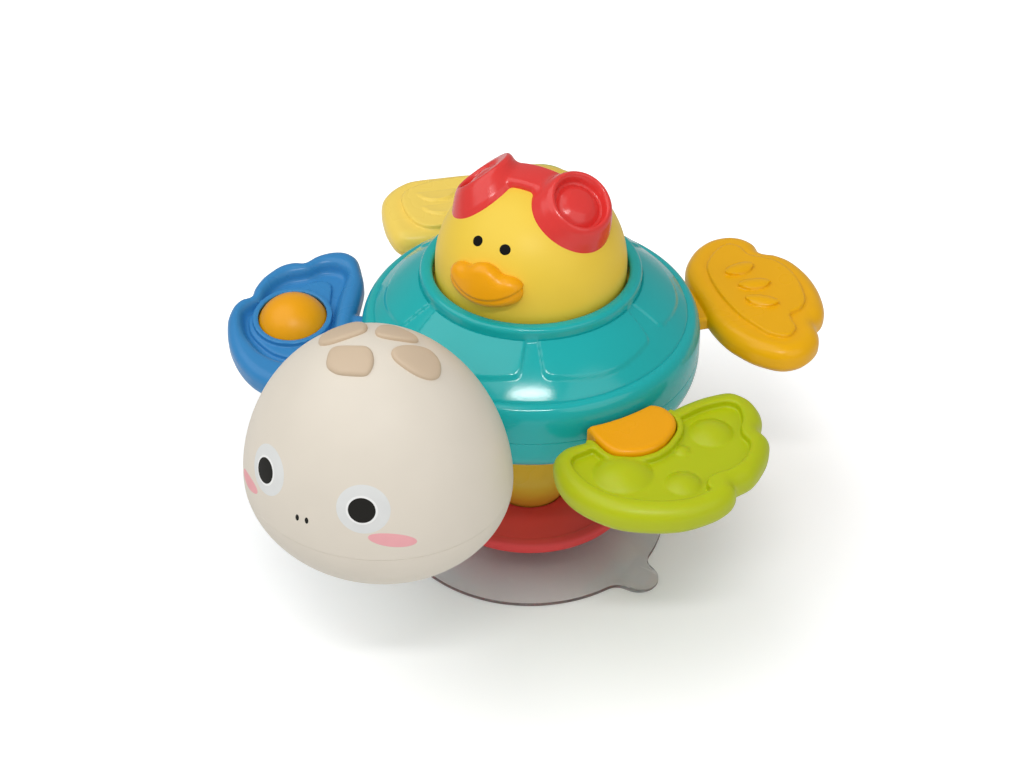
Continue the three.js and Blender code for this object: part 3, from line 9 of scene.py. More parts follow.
import bpy
import numpy as np
from bpy.props import FloatProperty, FloatVectorProperty, PointerProperty
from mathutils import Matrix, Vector


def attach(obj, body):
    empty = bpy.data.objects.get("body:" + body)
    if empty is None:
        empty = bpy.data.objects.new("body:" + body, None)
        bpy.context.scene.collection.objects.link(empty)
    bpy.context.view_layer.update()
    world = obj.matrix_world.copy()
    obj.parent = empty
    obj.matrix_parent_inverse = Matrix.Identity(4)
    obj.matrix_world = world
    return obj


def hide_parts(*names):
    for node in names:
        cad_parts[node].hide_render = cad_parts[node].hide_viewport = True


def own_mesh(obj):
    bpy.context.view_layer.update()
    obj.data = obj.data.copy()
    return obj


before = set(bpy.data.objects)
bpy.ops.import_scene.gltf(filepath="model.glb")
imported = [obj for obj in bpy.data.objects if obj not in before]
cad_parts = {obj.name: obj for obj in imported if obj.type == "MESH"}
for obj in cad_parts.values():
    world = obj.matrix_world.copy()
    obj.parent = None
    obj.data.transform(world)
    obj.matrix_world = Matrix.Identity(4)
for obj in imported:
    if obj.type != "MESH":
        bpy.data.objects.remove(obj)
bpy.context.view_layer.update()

bl_info = {
    "name": "Suction cup turtle toy",
    "version": (1, 0, 0),
    "blender": (4, 5, 0),
    "location": "3D View > Sidebar > Turtle toy",
    "description": "Builds the moulded pieces, prints and finishes of a turtle toy round its CAD model",
    "category": "Object",
}

MM = 0.001

# Camera that stands where the photograph's did, for a picture of 1024 by 768
CAMERA_PLACE = (263.5, -450.2, 461.2)
CAMERA_TURN = (52.22, 0, 31)
CAMERA_LENS = 70.31
CAMERA_SENSOR = 36

# Oval soft lights: name, place, width and height in metres, and power in watts
LIGHTS = (
    ("key", (-0.48, -0.4, 1.05), (1.4, 1.4), 6.7),
    ("top", (0.326, -0.559, 0.97), (0.45, 0.07), 3.0),
    ("fill", (0.75, -0.2, 0.6), (0.7, 0.7), 1.2),
)
LIGHTS_AIM = (0, -0.02, 0.08)
WORLD_LIGHT = 0.36
FLOOR_HALF = 3.0
# The paper glows for the camera and through the clear cup, little near the toy and fully well away from
# it, which paints shade round and under the toy on top of its real shadow: the span, from near the toy
# to well away from it, both in metres, and how much it glows at each end
PAINTED_SHADE_SPAN = (0.02, 0.17)
PAINTED_SHADE_GLOW = (0.02, 0.6)

# Sizes in millimetres, most of them shared with the CAD source
GAP = 0.3
SEAM_GAP = 0.08
SEAM_Z = 76
SHELL_RADIUS = 54.6
SHELL_WALL = 2.2
SHELL_FLOOR_Z = 60.3
SHELL_FLAT_RADIUS = 28
BEAD_Z = 80
BEAD_WIDTH = 4
BEAD_HEIGHT = 8.2
LEDGE_RADIUS = 50
LEDGE_Z = 88.6
DOME_BULGE = 0.24
COLLAR_RADIUS = 35.2
COLLAR_FOOT_Z = 100.4
COLLAR_TOP_Z = 104.6
COLLAR_BORE_RADIUS = 31.1
COLLAR_UNDERSIDE_Z = 98.3
GUIDE_POST_RADIUS = 6
GUIDE_POST_TOP_Z = 90.5
PANEL_EDGE_RADIUS = 46.6
PANEL_EDGE_BOW = 2
PANEL_CORNER = 2.2
PANEL_COUNT = 6
PANEL_VALLEY_ANGLE = -59
VALLEY_FLARE = 0.2
OPENING_START = 49
OPENING_END = 58
SCREW_CIRCLE = 40.5
SCREW_ANGLES = (11, 90, 169, 237.5, 302.5)
SCREW_WELL_RADIUS = 3.3
SCREW_SEAT_Z = 66
SCREW_WELL_START_Z = 55
CUP_RADIUS = 46.2
CUP_RIM = 1.3
CUP_LAND = 43.6
CUP_HUB_RADIUS = 16.8
CUP_HUB_TOP_Z = 9.8
CUP_WELL_RADIUS = 14.3
CUP_WELL_Z = 6.2
CUP_RISE = 5.6
CUP_HOLLOW_RISE = 4.5
CUP_BOW = 1.25
CUP_UNDERSIDE_Z = 4
CUP_EDGE = 0.25
TAB_ANGLE = -11.5
TAB_WIDTH = 13.5
TAB_REACH = 9.6
TAB_BLEND = 5
FOOT_RADIUS = 35.7
FOOT_TOP_Z = 16
FOOT_LIP_RISE = 1.3
FOOT_FLOOR_Z = 12.2
FOOT_DISH_Z = 14
FOOT_HUB_RADIUS = 14
FOOT_HUB_Z = 6.5
FOOT_BORE_RADIUS = 4.3
WASHER_WELL_RADIUS = 8.3
WASHER_WELL_Z = 9.8
BULB_RADIUS = 13.6
BULB_Z = 20
BULB_FLOOR_Z = 12.5
BULB_END = 18
STEM_NECK = (12.35, 27.5)
STEM_WAIST = (12.2, 38)
STEM_FLARE = (4, 17.4)
STEM_FLANGE_RADIUS = 24
STEM_TOP_Z = 60
STEM_HOLLOW = (8.5, 25)
STEM_JOURNAL = (4, 9.8)
STEM_SCREW_HOLE = (1.8, 20.5)
DUCK_RADIUS = 30.3
DUCK_Z = 106
DUCK_WALL = 2.2
DUCK_FLANGE = 3
DUCK_FLANGE_Z = (95.8, 98)
SPRING_RADIUS = 11.6
SPRING_WIRE = 0.7
SPRING_LOW_Z = 62.8
SPRING_HIGH_Z = 93
SPRING_TURNS = 6
HEAD_CENTRE = (0, -87.6, 82.6)
HEAD_HALF = (40.3, 37.2)
# Height of each half of the head and the power of its superellipse
HEAD_CROWN = (47.4, 1.88)
HEAD_CHIN = (28.4, 1.9)
CLEAR_RADIUS = 56.2
NECK_RADIUS = 4
NECK_END = CLEAR_RADIUS + 1.1
PIN_END = 37
BLUE_PIN_RADIUS = 3.5
BLUE_PIN_REACH = 61.5
HINGE_REACH = 46
HINGE_RADIUS = 3.5
HINGE_HALF = 9.7
HINGE_BORE_RADIUS = 1.8
ARM_WIDTH = 18
ARM_THICKNESS = 4.4
ARM_REACH = 63
SLOT_HALF_HEIGHT = 4.2
FLIPPER_TOP = 5
FLIPPER_DEPTH = 10.4
PARTING_Z = -2.4
PARTING_DEPTH = 0.2
PARTING_HALF = 0.45
ORANGE_LIFT = 1.2
ORANGE_PLATEAU = 1.3
YELLOW_PLATEAU = 1.5
GREEN_TRAY_DEPTH = 2.6
BLUE_TRAY_DEPTH = 4.4
BLUE_TRAY_SLOPE = 0.4
BLUE_TRAY_MIDDLE = 2.5
BLUE_DECK_RISE = 1.3
BLUE_EDGE_ROUND = 3.6
BALL_REACH = 78
BALL_RADIUS = 12.1
BALL_DROP = 2.8
BALL_GAP = 0.3
BALL_COLLAR_TOP = 3.4
BALL_COLLAR_HALF = 0.9
AXLE_RADIUS = 1.8
AXLE_OVERHANG = 3.5
CLIP_WIDTH = 29
CLIP_TURN = -3.3
CLIP_TOP = 6.2
CLIP_LOW = -0.6
CLIP_BORDER = 2.3
CLIP_STUD_RADIUS = 3
CLIP_STUD_HALF = 2.7
SPINNER_RADIUS = 11.5
SPINNER_PLACE = (77, -20.3)
SPINNER_LOW = 6.9
SPINNER_HEIGHT = 4.2
SPINNER_BORE = 1.8
RIVET_WELL = (3.5, 1.2)
RIVET_HOLE_Z = 2.3

# Bearings of the head and the flippers round the spin axis, in degrees
HEAD_ANGLE = -90
GREEN_ANGLE = -25
BLUE_ANGLE = -155
BLUE_ROLL = -9
ORANGE_ANGLE = 47
YELLOW_ANGLE = 133

# Outlines of the flippers and the clip, each point's reach from the spin axis and place to the left
# of the arm, joined by a smooth curve
OUTLINES = {
    "clip": ((50, -15.6), (55, -16.2), (59, -16.8), (62.5, -16.9), (65.5, -16.6), (68, -15.4),
             (70.3, -12.6), (72, -9.2), (72.7, -5.5), (72.4, -2.3), (71.4, 0.9), (68.4, 6.1),
             (64.8, 8.8), (60.5, 9.4), (57.6, 8.6), (54.6, 6), (50, 2.5)),
    "green": ((59.6, -14), (56.2, -17.8), (55.3, -22.1), (55.2, -26.6), (57.6, -31.2), (64.4, -34.8),
              (72.5, -35.8), (80.5, -34), (88.5, -29.8), (95.1, -22.7), (99.9, -14.2), (101.6, -4.7),
              (101, 1.5), (99.2, 5), (96.8, 7), (96.3, 14.2), (92.4, 21.9), (88.3, 26.7), (85.4, 28.4),
              (81.1, 29.1), (77.4, 32.8), (73.1, 34.9), (67.3, 35.5), (61.6, 32.7), (59, 25.7),
              (58.2, 18.7), (58.3, 11.8), (59.4, 0)),
    "blue": ((85.1, 28.5), (79.5, 31.4), (73, 32.3), (66.5, 31), (61.2, 27.2), (58.2, 20.5), (57.4, 11),
             (57.4, 0), (57.2, -10), (57.2, -17.2), (58.8, -23), (60.6, -27.8), (62.4, -29.9),
             (65.5, -31.4), (69.3, -31.3), (72.9, -30), (75.6, -28.2), (78.4, -25.4), (81.4, -25.2),
             (84.4, -24.2), (87, -22.4), (89.3, -19.6), (91.4, -16.3), (92.9, -11.9), (93.4, -7.8),
             (96.2, -6), (98.1, -3.1), (98.8, 0.8), (98.7, 4.9), (97, 12.2), (94.5, 17.8), (91.3, 22.6),
             (88.1, 26.1)),
    "orange": ((57.4, -5), (57.6, -12.2), (58.8, -19.5), (61.2, -25.4), (65.4, -31.9), (72.3, -37.2),
               (79.6, -37.4), (85.6, -33.7), (88.2, -29.2), (89.2, -23.9), (93.6, -19.8), (96.1, -14.7),
               (97.8, -6.1), (97.7, 2.9), (95.5, 11.3), (91.7, 16.4), (87.5, 19.2), (87.2, 24.3),
               (84.6, 28.7), (79.8, 31.4), (73.5, 31.3), (67.9, 28.6), (63.4, 24.2), (59.6, 18.1),
               (57.8, 10)),
    "yellow": ((60.3, 33), (68.2, 35.8), (77.7, 36.1), (84.8, 35.3), (88.9, 33.6), (93, 30),
               (96.3, 24.7), (97.1, 19.4), (97.1, 14), (97.1, 8.8), (97, 3), (96, -5.5), (93, -12.5),
               (88.4, -17.8), (87.7, -23), (84.5, -29.8), (78.5, -33.2), (71.5, -33), (65.5, -28.6),
               (62.5, -21), (60, -12), (59, 0), (59, 14), (58.4, 25)),
}
# Inner edge of each rim: a sunk tray in green and blue, a raised plateau in orange and yellow
FIELDS = {
    "green": ((61.2, -22), (61.2, -26), (63.5, -28.8), (68.9, -29.8), (75, -29.5), (81.3, -27.2),
              (86.9, -22.7), (91.4, -17.4), (94.6, -11.2), (95.8, -6.3), (95.4, -2.2), (93.1, -1.3),
              (91.1, 0.9), (90.8, 4.2), (91.5, 9.1), (90.2, 15), (86.9, 19.9), (84.2, 21.8),
              (80.7, 22.2), (77.9, 23.8), (74.6, 27.1), (69.7, 29.5), (66.4, 28.3), (64.8, 24.4),
              (63.9, 18.9), (64, 11.1), (62.5, 0), (61.5, -12)),
    "blue": ((94.2, -0.2), (93.7, 4.5), (91.5, 9.9), (88.5, 13.8), (85.2, 17.2), (81.5, 19.4), (77, 21),
             (72, 21.4), (67.5, 19.5), (64.6, 15), (63.6, 7), (64, -4), (64, -10.5), (63.5, -15.4),
             (63.3, -20), (64.6, -22.6), (67, -23.8), (70, -24), (73.2, -23), (76.6, -20.4),
             (81.4, -18.8), (84.2, -17.1), (87.1, -13.9), (88.8, -10.3), (89.6, -6.4), (92.2, -3.4)),
    "blue_deck": ((67.2, -9.5), (67.7, -15.2), (68.8, -17.7), (71.2, -18.6), (74.1, -17.9),
                  (77.2, -15.9), (80.5, -12.9), (85, -9.3), (90, -3.5), (92.2, 0.5), (91.4, 5.6),
                  (89.3, 9.3), (86.4, 12.3), (83.4, 14.8), (80.2, 16.6), (75, 17.6), (70, 15.5),
                  (67.3, 10), (66.8, 0)),
    "orange": ((64.3, 8.7), (65.8, 14.3), (70, 19.8), (74.4, 23), (77.7, 23.4), (80.1, 20.7),
               (81.2, 15.9), (85.2, 13), (88.7, 9.7), (90.8, 4.5), (91.5, -2.3), (90.5, -9.8),
               (89, -14.5), (85.7, -18.1), (81.9, -19.7), (80.9, -22.8), (80.8, -26.5), (79.3, -29.1),
               (76, -30.9), (71.2, -28), (68.3, -22.3), (65.9, -16), (64.3, -7.4), (63.8, 1.1)),
    "yellow": ((87.7, 23.9), (85.8, 26.7), (82.3, 28.3), (76.8, 28.7), (71.7, 28.2), (66.9, 26.8),
               (63.7, 24.7), (62, 21.7), (61.7, 17), (61.9, 9), (62.5, 0), (64, -10), (66.5, -20),
               (70, -26.5), (76, -27.8), (81, -25), (82.7, -19), (86.5, -13.5), (90, -7), (91.3, 0),
               (91.3, 8), (90.9, 15), (89.5, 20)),
}
CLEARANCE = {"green": 59, "blue": 57.2, "orange": 57.6, "yellow": 59}
# Grid on which the distances to these outlines are kept
MAP_LOW = (36, -46)
MAP_HIGH = (108, 46)
MAP_STEP = 0.25
# Space in which a flipper's surface is looked for: where it starts, nearer the axis with an arm or a
# pin, its low Y and Z, and its high corner
FLIPPER_START = 44
ARM_START = 40
PIN_START = 35
FLIPPER_LOW = (-42, -7)
FLIPPER_HIGH = (104, 42, 11)

# Reliefs: place and radius of bubbles and waves, place and lean of seeds
BUBBLES = ((74, -17.6, 9), (73.4, 16, 6.8), (87.3, -5.4, 5.4), (75.3, 3.5, 2.6))
BUBBLE_RISE = 0.36
SEEDS = ((74.5, 7.4, 14), (76.1, -2.1, -6), (75.1, -11.7, -30))
SEED_HALF = (5.6, 3.1, 1.7)
SEED_STRETCH = 1.25
WAVES = ((83.6, 15.8, 6.8), (74.7, 15.4, 6.8))
WAVE_HALF_ANGLE = 88
WAVE_RISE = 0.9
WAVE_FADE = 3.5

# Prints on the two faces: where they sit, how big they are and how far they stand out
EYES = ((16.6, -31.0, 16.0), (-15.6, -31.2, 16.4))
PUPILS = ((16.3, -31.1, 15.8), (-16.4, -31.1, 15.9))
EYE_WHITE = (7.7, 7.3)
EYE_RING = (4.6, 4.4)
EYE_PUPIL = (4.1, 3.9)
NOSTRILS = ((-2.2, -36.3, 8.8), (1.0, -36.3, 9.1))
NOSTRIL_SIZE = (0.6, 1.0)
BLUSHES = ((24.5, -28.8, 6.9, -11), (-25, -28.6, 6.3, 11))
BLUSH_SIZE = (6.9, 2.15)
DUCK_EYES = ((-12.7, 38.6), (10.9, 39.0))
DUCK_EYE_SIZE = (1.75, 1.65)
PRINT_DEPTH = -0.25
# Crown patches, seen from above: points round each one, from the head's centre
PATCHES = (
    ((-8.4, -9.7), (-8.9, -6), (-3.2, -4.1), (1.2, -2.9), (4.5, -5.4), (5.8, -9.1), (4.4, -11.3),
     (-1.8, -13.2), (-6.3, -12.3)),
    ((7, -0.6), (6.9, 2.3), (9.6, 7.1), (13, 9.9), (17, 8.5), (19.6, 4.2), (18.8, 0.4), (15.2, -2),
     (9.8, -2.4)),
    ((-16.4, -2.5), (-17, 1.1), (-13.8, 5.5), (-10.8, 9), (-7, 8), (-4.4, 3.5), (-6.4, -0.6),
     (-10.3, -3.9), (-14, -4.5)),
    ((-1.8, 4.5), (-3, 8.4), (-0.7, 11.4), (4, 12), (7.8, 11.5), (8.4, 8.7), (4.9, 5), (0.9, 3)),
)
PATCH_RISE = 1.2
PATCH_DEPTH = -0.3

# Goggle cups: bearing and elevation of the foot and of the face, how deep the cup sinks, how wide its
# lens is, how much thicker its rim is towards the strap, and how far the rim leans for each mm of height
GOGGLES = (
    {"foot": (-75.8, 54.9), "face": (-88, 50), "sink": 2.4, "lens": 0.84, "thicker": 1.3,
     "lean": (0.28, 0.34, 0.24)},
    {"foot": (82.5, 56.6), "face": (70, 53), "sink": 0.6, "lens": 1, "thicker": 0,
     "lean": (0.018, 0.233, 0.275)},
)
# Profiles of a cup's wall and of the hollow above its lens: from the axis, from the duck's centre
CUP_WALL = [(-2, 22), (13.1, 22), (13.1, 27.6), (12.7, 29.2), (11.6, 31.8), (10.4, 34.1), (9.8, 34.8),
            (9.3, 35.15), (-2, 35.15)]
ABOVE_LENS = [(-2, 40), (8.7, 40), (8.4, 34.4), (8, 32.8), (7.2, 32.5), (6.7, 33), (5.9, 33.7),
              (4, 34.7), (2, 35.2), (-2, 35.3)]
CUP_ROUND = 0.35
RIM_ROUND = 1.4
STRAP_HALF_WIDTH = 6
STRAP_TURN = 3.7
STRAP_RISE = 2.3
STRAP_REACH = 16.9
STRAP_EDGE = 1.5
# Beak on the duck's face, in millimetres sideways and upwards from its middle
BEAK_ELEVATION = 14
BEAK_SHIFT = 0.9
BEAK_HALF = (12.1, 5.3, 1)
BEAK_HALF_Z = 0.2
BEAK_HUMP = (2.9, 5.3)
BEAK_CORNER = (9, 1.9, 3.4)
BEAK_CROWN = 4.9
BEAK_FALL = 1.6
BEAK_EDGE = 3.3
MOUTH_DROP = 2
MOUTH_CURVE = 0.031
# Depth to which the beak and the goggles are bedded in the duck
BEDDED = 0.8


def linear(code):
    """Turns an sRGB hex colour into the linear red, green and blue that shaders take."""
    parts = [int(code[place:place + 2], 16) / 255 for place in (1, 3, 5)]
    return tuple(p / 12.92 if p <= 0.04045 else ((p + 0.055) / 1.055) ** 2.4 for p in parts)


def colour_property(label, note, code):
    return FloatVectorProperty(name=label, description=note, subtype="COLOR", size=3, min=0, max=1,
                               default=linear(code))


def length_property(label, note, size, least=0):
    return FloatProperty(name=label, description=note, default=size * MM, min=least * MM, unit="LENGTH")


class ToyColours(bpy.types.PropertyGroup):
    """Colours of the plastics, the silicone and the prints"""
    teal: colour_property("Teal", "Both halves of the shell", "#17b0b1")
    duck: colour_property("Duck yellow", "The duck and the stem", "#f6d246")
    beak: colour_property("Beak orange", "The beak, the clip and the ball", "#f7a900")
    red: colour_property("Red", "The goggles", "#e63c38")
    foot: colour_property("Foot", "The foot plate under the shell", "#ec4a4b")
    orange: colour_property("Orange", "The orange flipper", "#f5b400")
    lime: colour_property("Lime", "The soft flipper and the spinner", "#b9c504")
    blue: colour_property("Blue", "The tray flipper", "#3889c6")
    lemon: colour_property("Lemon", "The wave flipper", "#ffdd66")
    cream: colour_property("Cream", "The head", "#e5dccd")
    tan: colour_property("Tan", "The patches on the crown", "#d2bca1")
    blush: colour_property("Blush", "The cheek prints", "#f4b0b4")


class ToyForms(bpy.types.PropertyGroup):
    """Sizes of the moulded detail"""
    panel_rise: length_property("Panel rise", "Height of the panels on the shell", 0.8)
    panel_valley: length_property("Panel valley", "Half width of the valleys at the collar", 1.8)
    edge_round: length_property("Flipper edge", "Radius of the flippers' rolled edges", 4.6, 0.5)
    seam_round: length_property("Seam round", "Radius of the edges beside a parting line", 0.22)
    mesh_step: length_property("Mesh step", "Spacing of the points on free-form pieces", 0.5, 0.2)


def colour_of(name):
    return tuple(getattr(bpy.context.scene.turtle_colours, name))


def form_mm(name):
    return getattr(bpy.context.scene.turtle_forms, name) / MM


# Profiles and turned pieces

def rounded(corners, steps=6):
    """Rounds the corners of a profile; each corner is (radius, height, fillet)."""
    points = []
    count = len(corners)
    for place, (r, z, fillet) in enumerate(corners):
        here = np.array([r, z], float)
        if fillet <= 0 or place in (0, count - 1):
            points.append(here)
            continue
        before = np.array(corners[place - 1][:2], float) - here
        after = np.array(corners[place + 1][:2], float) - here
        near = min(fillet, 0.48 * np.linalg.norm(before), 0.48 * np.linalg.norm(after))
        start = here + before / np.linalg.norm(before) * near
        end = here + after / np.linalg.norm(after) * near
        for t in np.linspace(0, 1, steps):
            points.append((1 - t) ** 2 * start + 2 * t * (1 - t) * here + t ** 2 * end)
    return np.array(points)


def strips(count, sides, ring=False):
    """Faces between closed rows of points; a ring's last row joins its first."""
    step = np.arange(sides)
    after = (step + 1) % sides
    faces = []
    for row in range(count if ring else count - 1):
        low, high = row * sides, (row + 1) % count * sides
        faces += np.stack([low + step, low + after, high + after, high + step], axis=1).tolist()
    return faces


def turned(profile, segments=192, ring=False, angles=None, shape=None):
    """Turns a profile round Z. It starts and ends on the axis, or closes on itself for a ring."""
    if angles is None:
        angles = np.arange(segments) * 2 * np.pi / segments
    sides = len(angles)
    rows = profile if ring else profile[1:-1]
    radius = np.repeat(rows[:, :1], sides, axis=1)
    height = np.repeat(rows[:, 1:], sides, axis=1)
    if shape is not None:
        radius, height = shape(radius, height, angles)
    points = np.stack([radius * np.cos(angles), radius * np.sin(angles), height], axis=-1).reshape(-1, 3)
    faces = strips(len(rows), sides, ring)
    if not ring:
        ends = np.array([[0, 0, profile[0][1]], [0, 0, profile[-1][1]]])
        first, last = len(points), len(points) + 1
        points = np.concatenate([points, ends])
        top = (len(rows) - 1) * sides
        pairs = [(step, (step + 1) % sides) for step in range(sides)]
        faces += [[first, b, a] for a, b in pairs]
        faces += [[last, top + a, top + b] for a, b in pairs]
    return points, faces


def turned_ball(radius, steps, segments):
    """A whole sphere round the origin as a turned piece."""
    angles = np.linspace(-np.pi / 2, np.pi / 2, steps)
    profile = np.stack([np.cos(angles), np.sin(angles)], axis=1) * radius
    profile[0, 0] = profile[-1, 0] = 0
    return turned(profile, segments)


def quarter(power, steps):
    """Quarter of a superellipse, from (0, 1) to (1, 0)."""
    angle = np.linspace(0, np.pi / 2, steps)
    return np.sin(angle) ** (2 / power), np.cos(angle) ** (2 / power)


def smooth_loop(corners, steps=8):
    """Closed smooth curve through the given points."""
    here = np.array(corners, float)
    a, b, c, d = (np.roll(here, shift, axis=0)[:, None, :] for shift in (1, 0, -1, -2))
    t = np.linspace(0, 1, steps, endpoint=False)[None, :, None]
    curve = 2 * b + (c - a) * t + (2 * a - 5 * b + 4 * c - d) * t ** 2 + (3 * b - a - 3 * c + d) * t ** 3
    return (curve / 2).reshape(-1, 2)


# Fields of signed distances, and the mesh of a field's surface

def smooth_min(a, b, blend):
    share = np.clip(0.5 + 0.5 * (b - a) / blend, 0, 1)
    return b * (1 - share) + a * share - blend * share * (1 - share)


def smooth_max(a, b, blend):
    return -smooth_min(-a, -b, blend)


def slab(outline, z, low, high, edge):
    """A plate of the given outline between two heights, with rounded edges."""
    across = outline + edge
    up = np.abs(z - (low + high) / 2) - (high - low) / 2 + edge
    corner = np.hypot(np.maximum(across, 0), np.maximum(up, 0))
    return np.minimum(np.maximum(across, up), 0) + corner - edge


def block(x, y, z, low, high, edge):
    """A box between two corners with rounded edges."""
    gaps = []
    for value, a, b in zip((x, y, z), low, high):
        gaps.append(np.abs(value - (a + b) / 2) - (b - a) / 2 + edge)
    outside = np.sqrt(sum(np.maximum(gap, 0) ** 2 for gap in gaps))
    return outside + np.minimum(np.maximum.reduce(gaps), 0) - edge


def ellipsoid(x, y, z, sizes):
    near = np.sqrt((x / sizes[0]) ** 2 + (y / sizes[1]) ** 2 + (z / sizes[2]) ** 2)
    slope = np.sqrt((x / sizes[0] ** 2) ** 2 + (y / sizes[1] ** 2) ** 2 + (z / sizes[2] ** 2) ** 2)
    return near * (near - 1) / np.maximum(slope, 1e-6)


def polygon(corners, x, y):
    """Signed distance to a closed polygon in the plane."""
    nearest = np.full(x.shape, 1e9)
    inside = np.zeros(x.shape, bool)
    for (ax, ay), (bx, by) in zip(corners, corners[1:] + corners[:1]):
        ex, ey = bx - ax, by - ay
        along = np.clip(((x - ax) * ex + (y - ay) * ey) / (ex * ex + ey * ey), 0, 1)
        nearest = np.minimum(nearest, (x - ax - ex * along) ** 2 + (y - ay - ey * along) ** 2)
        if ey != 0:
            crosses = (y >= min(ay, by)) & (y < max(ay, by))
            inside ^= crosses & (x < ax + (y - ay) * ex / ey)
    return np.where(inside, -1, 1) * np.sqrt(nearest)


def surface_net(field, low, high, step):
    """Meshes a field's zero surface: a point in each grid cell that the surface crosses, moved onto the
    surface, and a face for each grid edge that it crosses."""
    axes = [np.arange(a - 2 * step, b + 2 * step, step) for a, b in zip(low, high)]
    grid = np.stack(np.meshgrid(*axes, indexing="ij"), axis=-1)
    inside = (field(grid) < 0).astype(np.int8)
    cells = tuple(count - 1 for count in inside.shape)
    filled = np.zeros(cells, np.int8)
    for i, j, k in np.ndindex(2, 2, 2):
        filled += inside[i:i + cells[0], j:j + cells[1], k:k + cells[2]]
    mixed = (filled > 0) & (filled < 8)
    number = np.full(cells, -1)
    number[mixed] = np.arange(mixed.sum())
    middle = grid[:-1, :-1, :-1][mixed] + step / 2
    points = middle.copy()
    probe = 0.05 * step
    for _ in range(5):
        value = field(points)
        slope = np.stack([field(points + probe * unit) - value for unit in np.eye(3)], axis=-1) / probe
        points -= value[:, None] * slope / np.maximum((slope ** 2).sum(-1), 0.05)[:, None]
        points = np.clip(points, middle - 0.75 * step, middle + 0.75 * step)
    faces = []
    for axis in range(3):
        b, c = (axis + 1) % 3, (axis + 2) % 3
        change = np.diff(inside, axis=axis)
        places = np.argwhere(change)
        ring = []
        for db, dc in ((1, 1), (0, 1), (0, 0), (1, 0)):
            cell = places.copy()
            cell[:, b] -= db
            cell[:, c] -= dc
            ring.append(number[tuple(cell.T)])
        quads = np.stack(ring, axis=1)
        back = change[tuple(places.T)] > 0
        quads[back] = quads[back][:, ::-1]
        faces += quads.tolist()
    return points, faces


# Meshes and pieces

def closed_mesh(points, faces, sharp=40):
    """Makes a mesh in metres from points in millimetres, facing outward, smooth up to a sharp angle."""
    points = np.asarray(points, float)
    triangles = [face[:3] for face in faces]
    triangles += [(face[0], *face[2:4]) for face in faces if len(face) == 4]
    a, b, c = (points[corner] for corner in np.array(triangles).T)
    if (a * np.cross(b, c)).sum() < 0:
        faces = [face[::-1] for face in faces]
    mesh = bpy.data.meshes.new("mesh")
    mesh.from_pydata((points * MM).tolist(), [], faces)
    mesh.validate()
    shade(mesh, sharp)
    return mesh


def shade(mesh, sharp=40):
    mesh.polygons.foreach_set("use_smooth", [True] * len(mesh.polygons))
    mesh.set_sharp_from_angle(angle=math.radians(sharp))
    mesh.update()


def carved(mesh, *cutters):
    """Cuts each cutter, a (points, faces) pair, out of a mesh and gives the mesh that is left."""
    body = bpy.data.objects.new("carving", mesh)
    bpy.context.scene.collection.objects.link(body)
    tools = []
    for points, faces in cutters:
        tool = bpy.data.objects.new("cutter", closed_mesh(points, faces))
        bpy.context.scene.collection.objects.link(tool)
        tools.append(tool)
        cut = body.modifiers.new("cut", "BOOLEAN")
        cut.operation = "DIFFERENCE"
        cut.solver = "EXACT"
        cut.object = tool
    bpy.context.view_layer.update()
    shown = body.evaluated_get(bpy.context.evaluated_depsgraph_get())
    left = bpy.data.meshes.new_from_object(shown)
    for thing in [body, *tools]:
        bpy.data.objects.remove(thing)
    shade(left)
    return left


def add_piece(name, mesh, finish, body, slot, *nodes):
    """Adds a mesh as a piece that rides on a body, takes a finish and hides the CAD nodes it stands for;
    the slot is not used.
    """
    mesh.name = name
    piece = bpy.data.objects.new(name, mesh)
    bpy.context.scene.collection.objects.link(piece)
    mesh.materials.clear()
    mesh.materials.append(finish)
    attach(piece, body)
    if nodes:
        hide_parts(*nodes)
    return piece


def add_skin(node, mesh, finish, body, slot):
    """Adds the piece that shows in place of one CAD node."""
    add_piece(f"{node}_skin", mesh, finish, body, slot, node)


def about_z(points, degrees):
    angle = math.radians(degrees)
    c, s = math.cos(angle), math.sin(angle)
    return np.asarray(points) @ np.array([[c, s, 0], [-s, c, 0], [0, 0, 1]])


def about_x(points, degrees):
    angle = math.radians(degrees)
    c, s = math.cos(angle), math.sin(angle)
    return np.asarray(points) @ np.array([[1, 0, 0], [0, c, s], [0, -s, c]])


def at_pin(points, bearing, roll=0):
    """Puts a flipper's own points, X outward and Z up from the pin, at a bearing round the shell."""
    return about_z(about_x(points, roll), bearing) + np.array([0, 0, SEAM_Z])


def rod(radius, start, end, sides=48):
    """A rod along X as a turned piece laid on its side."""
    profile = np.array([(0, start), (radius, start), (radius, end), (0, end)], float)
    points, faces = turned(profile, sides)
    return np.stack([points[:, 2], points[:, 1], -points[:, 0]], axis=1), faces


def cuboid(low, high):
    ends = (low, high)
    points = [[ends[i][0], ends[j][1], ends[k][2]] for i, j, k in np.ndindex(2, 2, 2)]
    faces = [[0, 1, 3, 2], [4, 6, 7, 5], [0, 4, 5, 1], [2, 3, 7, 6], [0, 2, 6, 4], [1, 5, 7, 3]]
    return np.array(points, float), faces


# Materials

def add_node(tree, kind, values=None, links=None, **settings):
    """Adds a node with its settings, the values of its inputs and the sockets linked to them."""
    node = tree.nodes.new(kind)
    for name, value in settings.items():
        setattr(node, name, value)
    for name, value in (values or {}).items():
        node.inputs[name].default_value = value
    for name, socket in (links or {}).items():
        tree.links.new(socket, node.inputs[name])
    return node


def noise(tree, size, **values):
    """Noise through a piece with a grain of a size in millimetres."""
    place = add_node(tree, "ShaderNodeTexCoord")
    node = add_node(tree, "ShaderNodeTexNoise", {"Scale": 1 / (size * MM), "Detail": 2, **values},
                    {"Vector": place.outputs["Object"]})
    return node.outputs["Fac"]


